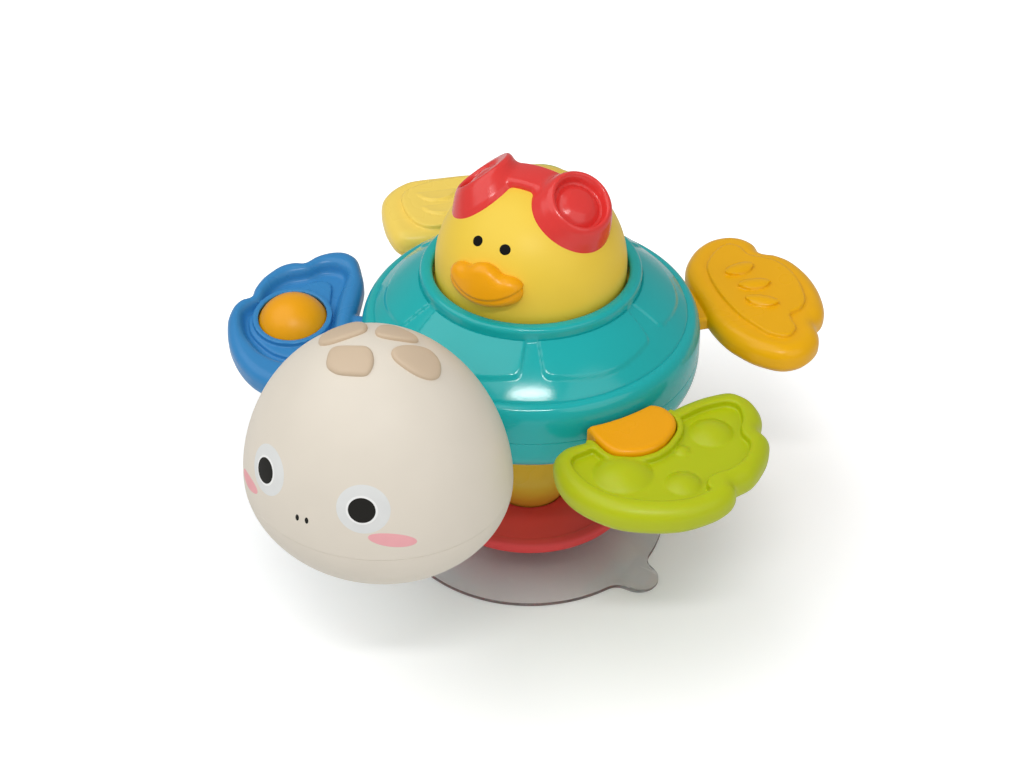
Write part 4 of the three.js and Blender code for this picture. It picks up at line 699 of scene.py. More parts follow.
def spread(tree, socket, low, high, start=0, end=1):
    """Spreads the part of a value from start to end over low to high."""
    node = add_node(tree, "ShaderNodeMapRange",
                    {"From Min": start, "From Max": end, "To Min": low, "To Max": high},
                    {"Value": socket})
    return node.outputs["Result"]


def relief(tree, height, strength, depth):
    """A bump of a depth in millimetres."""
    node = add_node(tree, "ShaderNodeBump", {"Strength": strength, "Distance": depth * MM},
                    {"Height": height})
    return node.outputs["Normal"]


def link_inputs(tree, surface, **sockets):
    for name, socket in sockets.items():
        tree.links.new(socket, surface.inputs[name.replace("_", " ")])


def set_inputs(surface, **values):
    """Sets constants on a shader's own sockets; an underscore stands for a space."""
    for name, value in values.items():
        surface.inputs[name.replace("_", " ")].default_value = value


def start_material(name):
    """A new material with its tree and shader, or only the material if it is there already."""
    material = bpy.data.materials.get(name)
    if material is not None:
        return material, None, None
    material = bpy.data.materials.new(name)
    material.use_nodes = True
    return material, material.node_tree, material.node_tree.nodes["Principled BSDF"]


def moulded_plastic(name, colour, roughness, flow_mm=22, grain_mm=0.7, grain_depth=0.012, **values):
    """Injection-moulded plastic: an even colour with faint flow marks, a skin as fine as the polished or
    spark-eroded mould left it, and gloss that wanders a little where the part cooled unevenly."""
    material, tree, surface = start_material(name)
    if tree is None:
        return material
    flow = noise(tree, flow_mm, Distortion=0.15)
    darker = tuple(0.965 * part for part in colour)
    paint = add_node(tree, "ShaderNodeMix", {6: (*colour, 1), 7: (*darker, 1)},
                     {0: spread(tree, flow, 0, 1, 0.35, 0.7)}, data_type="RGBA")
    gloss = spread(tree, flow, roughness - 0.015, roughness + 0.02, 0.3, 0.7)
    grain = relief(tree, noise(tree, grain_mm), 0.4, grain_depth)
    link_inputs(tree, surface, Base_Color=paint.outputs[2], Roughness=gloss, Normal=grain)
    set_inputs(surface, **values)
    return material


def abs_plastic(label, colour, roughness=0.28, shine=0.3):
    """ABS from a polished mould: bright, even colour and clear soft highlights."""
    return moulded_plastic("ABS " + label, colour, roughness, IOR=1.5, Specular_IOR_Level=shine)


def satin_plastic(label, colour, roughness=0.48):
    """Polypropylene from a finely spark-eroded mould: chalky, with a wide faint sheen."""
    return moulded_plastic("Polypropylene " + label, colour, roughness, grain_mm=0.45, grain_depth=0.03,
                           IOR=1.49, Specular_IOR_Level=0.35)


def silicone_rubber(label, colour):
    """Teething silicone: soft satin skin that lets a little light in at its edges."""
    return moulded_plastic("Silicone rubber " + label, colour, 0.4, grain_mm=0.5, grain_depth=0.02,
                           IOR=1.43, Subsurface_Weight=0.12, Subsurface_Scale=2 * MM)


def printed_ink(label, colour):
    """Pad-printed ink: a thin even film, duller than the plastic under it, with pinprick grain."""
    return moulded_plastic("Printed ink " + label, colour, 0.6, flow_mm=6, grain_mm=0.3,
                           grain_depth=0.01, Specular_IOR_Level=0.15)


def clear_vinyl():
    """Soft clear PVC: a smoky see-through skin with glassy highlights and faint ripples."""
    material, tree, surface = start_material("Soft clear PVC")
    if tree is None:
        return material
    ripple = noise(tree, 14)
    link_inputs(tree, surface, Normal=relief(tree, ripple, 0.3, 0.15),
                Roughness=spread(tree, ripple, 0.05, 0.14))
    set_inputs(surface, Base_Color=(*linear("#f1eeed"), 1), Transmission_Weight=1, Alpha=0.86, IOR=1.4)
    return material


def zinc_steel():
    """Zinc-plated steel wire and screws: grey metal whose gloss varies in fine specks."""
    material, tree, surface = start_material("Zinc-plated steel")
    if tree is None:
        return material
    link_inputs(tree, surface, Roughness=spread(tree, noise(tree, 0.8, Detail=4), 0.22, 0.42))
    set_inputs(surface, Base_Color=(*linear("#c2c4c6"), 1), Metallic=1)
    return material


# Stage

def paper_with_painted_shade():
    """Pale matt paper that the camera sees white, with more of its own light away from the toy, so that
    the toy's shadow stays; little glow near the toy paints shade round it and under the clear cup."""
    material, tree, surface = start_material("Studio paper")
    set_inputs(surface, Base_Color=(*linear("#f3f3f3"), 1), Roughness=0.9, Specular_IOR_Level=0)
    path = add_node(tree, "ShaderNodeLightPath")
    rays = {0: path.outputs["Is Camera Ray"], 1: path.outputs["Is Transmission Ray"]}
    seen = add_node(tree, "ShaderNodeMath", None, rays, operation="MAXIMUM")
    place = add_node(tree, "ShaderNodeTexCoord")
    away = add_node(tree, "ShaderNodeVectorMath", None, {0: place.outputs["Object"]}, operation="LENGTH")
    # Painted shade: the glow is weakest near the toy, so the paper round and under it is darker than its
    # lighting alone makes it
    level = spread(tree, away.outputs["Value"], *PAINTED_SHADE_GLOW, *PAINTED_SHADE_SPAN)
    strength = add_node(tree, "ShaderNodeMath", None, {0: seen.outputs[0], 1: level},
                        operation="MULTIPLY")
    glow = add_node(tree, "ShaderNodeEmission", {"Color": (1, 1, 1, 1)},
                    {"Strength": strength.outputs[0]})
    both = add_node(tree, "ShaderNodeAddShader", None, {0: surface.outputs[0], 1: glow.outputs[0]})
    tree.links.new(both.outputs[0], tree.nodes["Material Output"].inputs["Surface"])
    return material


def stage_floor():
    corners = [(x * FLOOR_HALF, y * FLOOR_HALF, 0) for x, y in ((-1, -1), (1, -1), (1, 1), (-1, 1))]
    mesh = bpy.data.meshes.new("floor")
    mesh.from_pydata(corners, [], [(0, 1, 2, 3)])
    mesh.materials.append(paper_with_painted_shade())
    floor = bpy.data.objects.new("floor", mesh)
    floor.location.z = -0.05 * MM
    bpy.context.scene.collection.objects.link(floor)


def soft_light(name, place, size, power):
    """An oval area light that looks at the toy; size is its width and height."""
    lamp = bpy.data.lights.new(name, "AREA")
    lamp.shape = "ELLIPSE"
    lamp.size, lamp.size_y = size
    lamp.energy = power
    light = bpy.data.objects.new(name, lamp)
    light.location = place
    aim = Vector(LIGHTS_AIM) - light.location
    light.rotation_euler = aim.to_track_quat("-Z", "Y").to_euler()
    bpy.context.scene.collection.objects.link(light)


class TURTLE_OT_stage(bpy.types.Operator):
    """Sets up the floor, the soft lights and the camera at the photograph's angle"""
    bl_idname = "turtle.stage"
    bl_label = "Stage"

    def execute(self, context):
        scene = context.scene
        scene.view_settings.view_transform = "Standard"
        lens = bpy.data.cameras.new("photo_camera")
        lens.lens = CAMERA_LENS
        lens.sensor_width = CAMERA_SENSOR
        lens.clip_start = 0.01
        camera = bpy.data.objects.new("photo_camera", lens)
        camera.location = [value * MM for value in CAMERA_PLACE]
        camera.rotation_euler = [math.radians(value) for value in CAMERA_TURN]
        scene.collection.objects.link(camera)
        scene.camera = camera
        world = bpy.data.worlds.new("studio")
        scene.world = world
        world.use_nodes = True
        tree = world.node_tree
        path = add_node(tree, "ShaderNodeLightPath")
        level = spread(tree, path.outputs["Is Camera Ray"], WORLD_LIGHT, 1)
        link_inputs(tree, tree.nodes["Background"], Strength=level)
        set_inputs(tree.nodes["Background"], Color=(1, 1, 1, 1))
        for light in LIGHTS:
            soft_light(*light)
        stage_floor()
        return {"FINISHED"}


# Foot

def cup_reach(angles):
    """Outer radius of the suction cup round its rim, with the pull tab's tongue."""
    away = (np.degrees(angles) - TAB_ANGLE + 180) % 360 - 180
    half = TAB_WIDTH / 2
    centre = CUP_RADIUS + TAB_REACH - half
    reach = np.full(len(angles), float(CUP_RADIUS))
    tries = np.arange(CUP_RADIUS, CUP_RADIUS + TAB_REACH + 0.05, 0.05)
    for place, degrees in enumerate(away):
        if abs(degrees) > 25:
            continue
        x = tries * math.cos(math.radians(degrees))
        y = abs(tries * math.sin(math.radians(degrees)))
        tongue = np.hypot(np.maximum(x - centre, 0), y) - half
        both = smooth_min(tries - CUP_RADIUS, tongue, TAB_BLEND)
        filled = tries[both <= 0]
        reach[place] = filled.max() if len(filled) else CUP_RADIUS
    return reach


def suction_cup_mesh():
    """The clear cup with its hub, its hollow skirt and the pull tab drawn out of its rim."""
    hub = CUP_HUB_RADIUS
    out = np.linspace(0, 1, 40)
    rise = (1 - out) ** CUP_BOW
    upper = [(hub + (CUP_RADIUS - 0.2 - hub) * o, CUP_RIM + CUP_RISE * r, 0) for o, r in zip(out, rise)]
    under = [(hub + (CUP_LAND - hub) * o, CUP_HOLLOW_RISE * r, 0) for o, r in zip(out, rise)]
    well = [(0, CUP_WELL_Z, 0), (CUP_WELL_RADIUS, CUP_WELL_Z, 0.4),
            (CUP_WELL_RADIUS, CUP_HUB_TOP_Z, 0.5)]
    rim = [(CUP_RADIUS, CUP_RIM - CUP_EDGE, 0), (CUP_RADIUS, CUP_EDGE, 0), (CUP_RADIUS - CUP_EDGE, 0, 0)]
    corners = [*well, (hub, CUP_HUB_TOP_Z, 0.8), *upper, *rim, *under[::-1], (0, CUP_UNDERSIDE_Z, 0)]
    even = np.linspace(-np.pi, np.pi, 181)[:-1]
    angles = math.radians(TAB_ANGLE) + np.unique(np.concatenate([even, np.linspace(-0.35, 0.35, 141)]))
    reach = cup_reach(angles)

    def stretch(radius, height, _):
        start = CUP_LAND - 0.6
        share = np.clip((radius - start) / (CUP_RADIUS - start), 0, 1)
        on_tab = (share > 0) & (height > 0.6) & (reach > CUP_RADIUS + 0.1)
        flat = np.minimum(height, CUP_RIM + 0.6 * (1 - share))
        return radius + share * (reach - CUP_RADIUS), np.where(on_tab, flat, height)

    return closed_mesh(*turned(rounded(corners), angles=angles, shape=stretch))


def foot_mesh():
    """The dished foot: hub and washer well below, rolled lip outside, socket for the bulb inside."""
    socket = BULB_RADIUS + GAP
    edge, bottom = (math.sqrt(socket ** 2 - (BULB_Z - z) ** 2) for z in (FOOT_DISH_Z, FOOT_FLOOR_Z))
    lip = FOOT_TOP_Z + FOOT_LIP_RISE
    under = [(FOOT_BORE_RADIUS, WASHER_WELL_Z, 0), (WASHER_WELL_RADIUS, WASHER_WELL_Z, 0),
             (WASHER_WELL_RADIUS, FOOT_HUB_Z, 0.2), (FOOT_HUB_RADIUS, FOOT_HUB_Z, 0.4),
             (FOOT_HUB_RADIUS, 10.6, 0.6), (FOOT_RADIUS - 3, FOOT_FLOOR_Z, 1.2)]
    rim = [(FOOT_RADIUS - 1.6, lip - 3.6, 1.4), (FOOT_RADIUS, lip - 3.5, 1.5), (FOOT_RADIUS, lip, 1.7),
           (FOOT_RADIUS - 3.6, lip, 1.5), (FOOT_RADIUS - 4.4, FOOT_TOP_Z - 0.2, 1.2),
           (FOOT_RADIUS - 7.5, FOOT_TOP_Z - 0.4, 2)]
    seat = [(edge + 1.5, FOOT_DISH_Z, 0.8), (edge, FOOT_DISH_Z - 0.2, 0.3), (bottom, FOOT_FLOOR_Z, 0),
            (FOOT_BORE_RADIUS, FOOT_FLOOR_Z, 0)]
    return closed_mesh(*turned(rounded(under + rim + seat), ring=True))


def stem_mesh():
    """The stem: journal and bulb in the foot, a waist, and a flange under the shell."""
    low = math.asin((BULB_FLOOR_Z - BULB_Z) / BULB_RADIUS)
    angle = np.linspace(low, math.radians(BULB_END), 24)
    bulb = [(BULB_RADIUS * math.cos(a), BULB_Z + BULB_RADIUS * math.sin(a), 0) for a in angle]
    flare = [(STEM_WAIST[0] + STEM_FLARE[0] * t ** 2, STEM_WAIST[1] + STEM_FLARE[1] * t, 0)
             for t in np.linspace(0, 1, 20)]
    hole, hole_end = STEM_SCREW_HOLE
    journal, journal_low = STEM_JOURNAL
    hollow, hollow_low = STEM_HOLLOW
    flange_low = STEM_WAIST[1] + STEM_FLARE[1]
    lower = [(0, hole_end, 0), (hole, hole_end, 0), (hole, journal_low, 0), (journal, journal_low, 0),
             (journal, BULB_FLOOR_Z, 0)]
    upper = [(STEM_FLANGE_RADIUS, flange_low, 0.4), (STEM_FLANGE_RADIUS, STEM_TOP_Z, 0.5),
             (hollow, STEM_TOP_Z, 0.3), (hollow, hollow_low, 0.3), (0, hollow_low, 0)]
    return closed_mesh(*turned(rounded([*lower, *bulb, (*STEM_NECK, 6), *flare, *upper]), 160))


class TURTLE_OT_foot(bpy.types.Operator):
    """Makes the clear suction cup, the red foot and the yellow stem that turns in it"""
    bl_idname = "turtle.foot"
    bl_label = "Foot"

    def execute(self, context):
        add_skin("suction_cup", suction_cup_mesh(), clear_vinyl(), "foot", "clear_vinyl")
        red = satin_plastic("red", colour_of("foot"))
        add_skin("foot_plate", foot_mesh(), red, "foot", "red_plastic")
        yellow = abs_plastic("yellow", colour_of("duck"))
        add_skin("swivel_stem", stem_mesh(), yellow, "turtle", "yellow_plastic")
        return {"FINISHED"}


# Shell

def dome_height(radius):
    up = (LEDGE_RADIUS - radius) / (LEDGE_RADIUS - COLLAR_RADIUS)
    return LEDGE_Z + (COLLAR_FOOT_Z - LEDGE_Z) * up * (1 + DOME_BULGE * (1 - up))


def panel_rise(radius, angles):
    """How far the six panels stand up from the dome: flat tops, crisp edges and round corners."""
    sector = 2 * np.pi / PANEL_COUNT
    turn = (angles - math.radians(PANEL_VALLEY_ANGLE)) % sector
    from_valley = np.minimum(turn, sector - turn)
    valley = form_mm("panel_valley") + VALLEY_FLARE * (radius - COLLAR_RADIUS)
    to_valley = radius * np.sin(from_valley) - valley
    to_edge = PANEL_EDGE_RADIUS - PANEL_EDGE_BOW * np.cos(PANEL_COUNT / 2 * from_valley) ** 2 - radius
    inside = -smooth_max(-to_valley, -to_edge, PANEL_CORNER)
    share = np.clip((inside + 0.3) / 0.7, 0, 1)
    return form_mm("panel_rise") * share * share * (3 - 2 * share)


def pin_openings():
    """Slots for the three flat arms and round holes for the neck and the blue pin."""
    half = ARM_WIDTH / 2 + GAP
    slot = cuboid((OPENING_START, -half, -SLOT_HALF_HEIGHT), (OPENING_END, half, SLOT_HALF_HEIGHT))
    openings = [(bearing, slot) for bearing in (GREEN_ANGLE + CLIP_TURN, ORANGE_ANGLE, YELLOW_ANGLE)]
    for bearing, radius in ((HEAD_ANGLE, NECK_RADIUS), (BLUE_ANGLE, BLUE_PIN_RADIUS)):
        openings.append((bearing, rod(radius + GAP, OPENING_START, OPENING_END)))
    return [(at_pin(points, bearing), faces) for bearing, (points, faces) in openings]


def upper_shell_mesh():
    """The upper half: bead, ledge, dome with its panels, and the collar round the duck."""
    low = SEAM_Z + SEAM_GAP / 2
    wall = SHELL_RADIUS - SHELL_WALL
    across, up = quarter(2.2, 22)
    bead = [(SHELL_RADIUS - BEAD_WIDTH + BEAD_WIDTH * a, BEAD_Z + BEAD_HEIGHT * u, 0)
            for a, u in zip(across[::-1], up[::-1])]
    dome = [(r, dome_height(r), 0) for r in np.linspace(LEDGE_RADIUS, COLLAR_RADIUS + 0.5, 44)]
    collar = [(COLLAR_RADIUS, COLLAR_FOOT_Z + 0.3, 0), (COLLAR_RADIUS, COLLAR_TOP_Z, 2),
              (COLLAR_BORE_RADIUS, COLLAR_TOP_Z, 1.4), (COLLAR_BORE_RADIUS, COLLAR_UNDERSIDE_Z, 0.4)]
    inner = [(COLLAR_RADIUS + 2, COLLAR_UNDERSIDE_Z, 0), (43.4, 92.2, 0), (47.8, 87.4, 0),
             (51.4, 84.4, 0)]
    corners = [(wall, low, 0.1), (SHELL_RADIUS, low, form_mm("seam_round")), *bead,
               (LEDGE_RADIUS + 0.2, LEDGE_Z - 0.5, 0), *dome, *collar, *inner, (wall, BEAD_Z, 0)]
    profile = rounded([corners[-1], *corners, corners[0]], 8)[1:-1]

    def raised(radius, height, angles):
        on_dome = (radius > COLLAR_RADIUS + 0.4) & (radius <= LEDGE_RADIUS)
        on_dome &= height >= dome_height(radius) - 0.01
        return radius, height + np.where(on_dome, panel_rise(radius, angles), 0)

    return carved(closed_mesh(*turned(profile, 720, ring=True, shape=raised)), *pin_openings())


def lower_shell_mesh():
    """The lower half: a bowl with the guide's post inside and wells for its screws."""
    top = SEAM_Z - SEAM_GAP / 2
    floor = SHELL_FLOOR_Z + SHELL_WALL
    reach = SHELL_RADIUS - SHELL_FLAT_RADIUS
    curve = list(zip(*quarter(3, 30)))
    outer = [(SHELL_FLAT_RADIUS + reach * a, top - (top - SHELL_FLOOR_Z) * d, 0) for a, d in curve]
    inner = [(SHELL_FLAT_RADIUS + (reach - SHELL_WALL) * a, top - (top - floor) * d, 0)
             for a, d in curve[::2]]
    post = [(GUIDE_POST_RADIUS, floor, 0), (GUIDE_POST_RADIUS, GUIDE_POST_TOP_Z, 0.5),
            (0, GUIDE_POST_TOP_Z, 0)]
    corners = [(0, SHELL_FLOOR_Z, 0), *outer[:-1], (SHELL_RADIUS, top, form_mm("seam_round")),
               (SHELL_RADIUS - SHELL_WALL, top, 0.1), *inner[::-1][1:], *post]
    points, faces = rod(SCREW_WELL_RADIUS, SCREW_WELL_START_Z, SCREW_SEAT_Z)
    points = np.stack([points[:, 1] + SCREW_CIRCLE, points[:, 2], points[:, 0]], axis=1)
    wells = [(about_z(points, bearing), faces) for bearing in SCREW_ANGLES]
    return carved(closed_mesh(*turned(rounded(corners), 360)), *pin_openings(), *wells)


class TURTLE_OT_shell(bpy.types.Operator):
    """Makes the two teal halves of the shell, with the panels, the collar and the openings"""
    bl_idname = "turtle.shell"
    bl_label = "Shell"

    def execute(self, context):
        teal = abs_plastic("teal", colour_of("teal"), 0.14, 0.45)
        add_skin("upper_shell", upper_shell_mesh(), teal, "turtle", "teal_plastic")
        add_skin("lower_shell", lower_shell_mesh(), teal, "turtle", "teal_plastic")
        return {"FINISHED"}


# Duck

def duck_mesh():
    """The hollow dome with the flange that keeps it under the collar."""
    curve = list(zip(*quarter(2, 48)))
    within = DUCK_RADIUS - DUCK_WALL
    outer = [(DUCK_RADIUS * a, DUCK_Z + DUCK_RADIUS * u, 0) for a, u in curve]
    inner = [(within * a, DUCK_Z + within * u, 0) for a, u in curve[::3]]
    flange = DUCK_RADIUS + DUCK_FLANGE
    low, high = DUCK_FLANGE_Z
    corners = [*inner, (within, low, 0), (flange, low, 0.3), (flange, high, 0.3), (DUCK_RADIUS, high, 0),
               *outer[::-1]]
    return closed_mesh(*turned(rounded(corners), 192))


def duck_direction(bearing, elevation):
    b, e = math.radians(bearing), math.radians(elevation)
    return np.array([math.sin(b) * math.cos(e), -math.cos(b) * math.cos(e), math.sin(e)])


def goggle_cup(cup, points):
    """A leaning cup with a sunk, domed lens; the points are from the duck's centre."""
    axis = duck_direction(*cup["face"])
    lean = np.array(cup["lean"])
    sideways = lean - np.dot(lean, axis) * axis
    sideways = sideways / np.linalg.norm(sideways)
    away = points - (DUCK_RADIUS - cup["sink"]) * duck_direction(*cup["foot"])
    along = away @ axis
    away = away - along[..., None] * (axis + lean)
    round_axis = np.maximum((away ** 2).sum(-1) - (away @ axis) ** 2, 0)
    thicker = cup["thicker"]
    round_wall = np.maximum(round_axis - 2 * thicker * (away @ sideways) + thicker ** 2, 0)
    height = along + DUCK_RADIUS
    wall = polygon(CUP_WALL, np.sqrt(round_wall), height) - CUP_ROUND
    return smooth_max(wall, -polygon(ABOVE_LENS, np.sqrt(round_axis) / cup["lens"], height), RIM_ROUND)


def goggles_field(points):
    """Two cups and the broad strap over the crown between them."""
    points = points - np.array([0, 0, DUCK_Z])
    x, y, z = np.moveaxis(points, -1, 0)
    reach = np.sqrt(x * x + y * y + z * z)
    cups = np.minimum(*(goggle_cup(cup, points) for cup in GOGGLES))
    turn = math.radians(STRAP_TURN)
    along = np.abs(x * math.cos(turn) + y * math.sin(turn))
    off = np.abs(y * math.cos(turn) - x * math.sin(turn))
    strap = slab(off - STRAP_HALF_WIDTH, reach, DUCK_RADIUS - 2, DUCK_RADIUS + STRAP_RISE, STRAP_EDGE)
    strap = np.maximum(strap, np.maximum(along - STRAP_REACH, -z))
    return np.maximum(smooth_min(cups, strap, RIM_ROUND), DUCK_RADIUS - BEDDED - reach)


def beak_field(points):
    """A wide pillow of a bill with turned-up corners, a hump in the middle and a lower lip set back."""
    x, y, z = np.moveaxis(points - np.array([0, 0, DUCK_Z]), -1, 0)
    reach = np.sqrt(x * x + y * y + z * z)
    middle = math.radians(BEAK_ELEVATION)
    side = np.arctan2(x, -y) * DUCK_RADIUS * math.cos(middle) - BEAK_SHIFT
    up = (np.arcsin(np.clip(z / np.maximum(reach, 1e-6), -1, 1)) - middle) * DUCK_RADIUS
    hump_z, hump_radius = BEAK_HUMP
    corner_x, corner_z, corner_radius = BEAK_CORNER
    outline = ellipsoid(side, up - BEAK_HALF_Z, 0, BEAK_HALF)
    outline = smooth_min(outline, np.hypot(side, up - hump_z) - hump_radius, 4)
    outline = smooth_min(outline, np.hypot(np.abs(side) - corner_x, up - corner_z) - corner_radius, 3.5)
    crown = BEAK_CROWN - BEAK_FALL * (side / 13) ** 2
    form = slab(outline, reach - DUCK_RADIUS, -3, crown, BEAK_EDGE)
    mouth = up + MOUTH_DROP - MOUTH_CURVE * side ** 2
    lip = np.clip(0.5 - mouth / 0.8, 0, 1)
    form = form + 0.35 * np.exp(-(mouth / 0.4) ** 2) + 0.6 * lip
    return np.maximum(form, DUCK_RADIUS - BEDDED - reach)


def unit(directions):
    directions = np.asarray(directions, float)
    return directions / np.linalg.norm(directions, axis=-1, keepdims=True)


def on_duck(directions, rise):
    return unit(directions) * (DUCK_RADIUS + rise) + np.array([0, 0, DUCK_Z])


def thin_disc(layers, rings, sides):
    """Closes two layers of rings of points, one above the other, into a thin disc."""
    points = np.concatenate(layers)
    faces = []
    layer = (rings + 1) * sides
    for ring in range(rings):
        for step in range(sides):
            a, b = ring * sides + step, ring * sides + (step + 1) % sides
            upper = [a, b, b + sides, a + sides] if ring else [a, b + sides, a + sides]
            faces.append(upper)
            faces.append([layer + corner for corner in upper[::-1]])
    rim = rings * sides
    for step in range(sides):
        a, b = rim + step, rim + (step + 1) % sides
        faces.append([a, b, layer + b, layer + a])
    return closed_mesh(points, faces)


def face_print(surface, centre, sizes, rise, lean=0):
    """A printed oval: a thin closed skin that follows the duck's or the head's surface."""
    axis = unit(centre)
    side = unit(np.cross((0, 0, 1), axis))
    up = np.cross(axis, side)
    rings, sides = 8, 64
    layers = []
    angle = np.arange(sides) * 2 * np.pi / sides
    turn = math.radians(lean)
    for height in (rise, PRINT_DEPTH):
        for ring in range(rings + 1):
            share = ring / rings
            u = sizes[0] * share * np.cos(angle)
            v = sizes[1] * share * np.sin(angle)
            u, v = u * math.cos(turn) - v * math.sin(turn), u * math.sin(turn) + v * math.cos(turn)
            way = np.array(centre) + u[:, None] * side + v[:, None] * up
            layers.append(surface(way, height if ring < rings or height < 0 else 0.4 * height))
    return thin_disc(layers, rings, sides)


def spring_mesh():
    """The wire of the return spring, one unbroken tube."""
    sides, steps = 14, SPRING_TURNS * 48
    along = np.linspace(0, 1, steps + 1)
    angle = along * SPRING_TURNS * 2 * np.pi
    low, high = SPRING_LOW_Z + SPRING_WIRE, SPRING_HIGH_Z - SPRING_WIRE
    height = low + (high - low) * along
    out = np.stack([np.cos(angle), np.sin(angle), 0 * angle], axis=1)
    around = np.linspace(0, 2 * np.pi, sides, endpoint=False)
    centre = out * SPRING_RADIUS + height[:, None] * np.array([0, 0, 1.0])
    ring = (np.cos(around)[None, :, None] * out[:, None, :]
            + np.sin(around)[None, :, None] * np.array([0, 0, 1.0]))
    points = (centre[:, None, :] + SPRING_WIRE * ring).reshape(-1, 3)
    ends = [list(range(sides))[::-1], [steps * sides + step for step in range(sides)]]
    return closed_mesh(points, strips(steps + 1, sides) + ends, 60)


class TURTLE_OT_duck(bpy.types.Operator):
    """Makes the duck button with its eyes, beak and goggles, and the spring under it"""
    bl_idname = "turtle.duck"
    bl_label = "Duck"

    def execute(self, context):
        step = 0.8 * form_mm("mesh_step")
        yellow = satin_plastic("yellow", colour_of("duck"), 0.42)
        add_skin("duck_dome", duck_mesh(), yellow, "duck", "yellow_plastic")
        beak = closed_mesh(*surface_net(beak_field, (-16, -40, 102), (16, -18, 126), step))
        add_skin("duck_beak", beak, abs_plastic("orange", colour_of("beak")), "duck", "orange_plastic")
        goggles = closed_mesh(*surface_net(goggles_field, (-34, -22, 112), (34, 22, 145), step))
        red = abs_plastic("red", colour_of("red"), 0.2, 0.45)
        add_skin("duck_goggles", goggles, red, "duck", "red_plastic")
        black = printed_ink("deep black", linear("#050505"))
        for place, direction in enumerate(DUCK_EYES, 1):
            mesh = face_print(on_duck, DUCK_RADIUS * duck_direction(*direction), DUCK_EYE_SIZE, 0.1)
            add_piece(f"duck_eye_{place}", mesh, black, "duck", "yellow_plastic")
        spring = add_piece("return_spring_wire", spring_mesh(), zinc_steel(), "turtle", "steel",
                           "return_spring")
        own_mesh(spring)
        return {"FINISHED"}


# Head

def egg_reach(way):
    """Distance from the head's centre to the egg's surface along unit directions."""
    across = np.hypot(way[..., 0] / HEAD_HALF[0], way[..., 1] / HEAD_HALF[1])
    halves = []
    for (height, power), z in ((HEAD_CROWN, way[..., 2]), (HEAD_CHIN, -way[..., 2])):
        up = np.maximum(z, 0) / height
        halves.append((across ** power + up ** power) ** (-1 / power))
    return np.where(way[..., 2] >= 0, *halves)


def on_egg(directions, rise):
    way = unit(directions)
    return way * (egg_reach(way) + rise)[..., None] + np.array(HEAD_CENTRE)


def egg_half(half, sign):
    """One half of the egg, dished where it faces the shell."""
    height, power = half
    edge = sign * SEAM_GAP / 2
    profile = [(a, sign * height * u, 0) for a, u in zip(*quarter(power, 64))]
    profile[-1] = (1, edge, form_mm("seam_round") / HEAD_HALF[0])
    points, faces = turned(rounded([*profile, (0, edge, 0)]), 240)
    points = points * np.array([*HEAD_HALF, 1]) + np.array(HEAD_CENTRE)
    hollow, hollow_faces = turned_ball(CLEAR_RADIUS, 97, 192)
    return carved(closed_mesh(points, faces), (hollow + np.array([0, 0, SEAM_Z]), hollow_faces))


def crown_patch_mesh(corners):
    """A raised patch with rounded corners and a soft edge, laid on the crown."""
    rings = 14
    outline = smooth_loop(corners)
    middle = outline.mean(axis=0)
    height, power = HEAD_CROWN
    layers = []
    for upper in (True, False):
        for ring in range(rings + 1):
            share = math.sin(ring / rings * math.pi / 2)
            plan = middle + share * (outline - middle)
            across = np.hypot(plan[:, 0] / HEAD_HALF[0], plan[:, 1] / HEAD_HALF[1])
            up = height * (1 - across ** power) ** (1 / power)
            lift = PATCH_RISE * (1 - share ** 12) ** 0.5 + 0.02 if upper else PATCH_DEPTH
            layers.append(on_egg(np.stack([plan[:, 0], plan[:, 1], up], axis=1), lift))
    return thin_disc(layers, rings, len(outline))


class TURTLE_OT_head(bpy.types.Operator):
    """Makes the egg-shaped head with its parting line, crown patches, eyes, nostrils and cheeks"""
    bl_idname = "turtle.head"
    bl_label = "Head"

    def execute(self, context):
        cream = satin_plastic("cream", colour_of("cream"))
        add_skin("head_crown", egg_half(HEAD_CROWN, 1), cream, "head", "cream_plastic")
        add_skin("head_chin", egg_half(HEAD_CHIN, -1), cream, "head", "cream_plastic")
        points, faces = rod(NECK_RADIUS, PIN_END, NECK_END)
        neck = closed_mesh(at_pin(points, HEAD_ANGLE), faces)
        add_piece("neck_pin", neck, cream, "head", "cream_plastic")
        tan = satin_plastic("tan", colour_of("tan"))
        for place, patch in enumerate(PATCHES, 1):
            add_skin(f"crown_patch_{place}", crown_patch_mesh(patch), tan, "head", "tan_plastic")
        grey = printed_ink("pale grey", linear("#e4e5e3"))
        white = printed_ink("white", linear("#f4f4f2"))
        black = printed_ink("black", linear("#23221f"))
        pink = printed_ink("pink", colour_of("blush"))
        prints = []
        for place, (eye, pupil) in enumerate(zip(EYES, PUPILS), 1):
            prints.append((f"eye_{place}_oval", grey, (eye, EYE_WHITE, 0.05)))
            prints.append((f"eye_{place}_ring", white, (pupil, EYE_RING, 0.1)))
            prints.append((f"eye_{place}_pupil", black, (pupil, EYE_PUPIL, 0.15)))
        for place, nostril in enumerate(NOSTRILS, 1):
            prints.append((f"nostril_{place}", black, (nostril, NOSTRIL_SIZE, 0.06)))
        for place, (*cheek, lean) in enumerate(BLUSHES, 1):
            prints.append((f"cheek_{place}", pink, (cheek, BLUSH_SIZE, 0.03, lean)))
        for name, ink, shape in prints:
            add_piece(name, face_print(on_egg, *shape), ink, "head", "cream_plastic")
        return {"FINISHED"}


# Flippers

def distance_map(corners):
    """Signed distances to a smooth closed outline, on a fine grid over a flipper."""
    axes = [np.arange(low, high, MAP_STEP) for low, high in zip(MAP_LOW, MAP_HIGH)]
    return polygon(smooth_loop(corners).tolist(), *np.meshgrid(*axes, indexing="ij"))


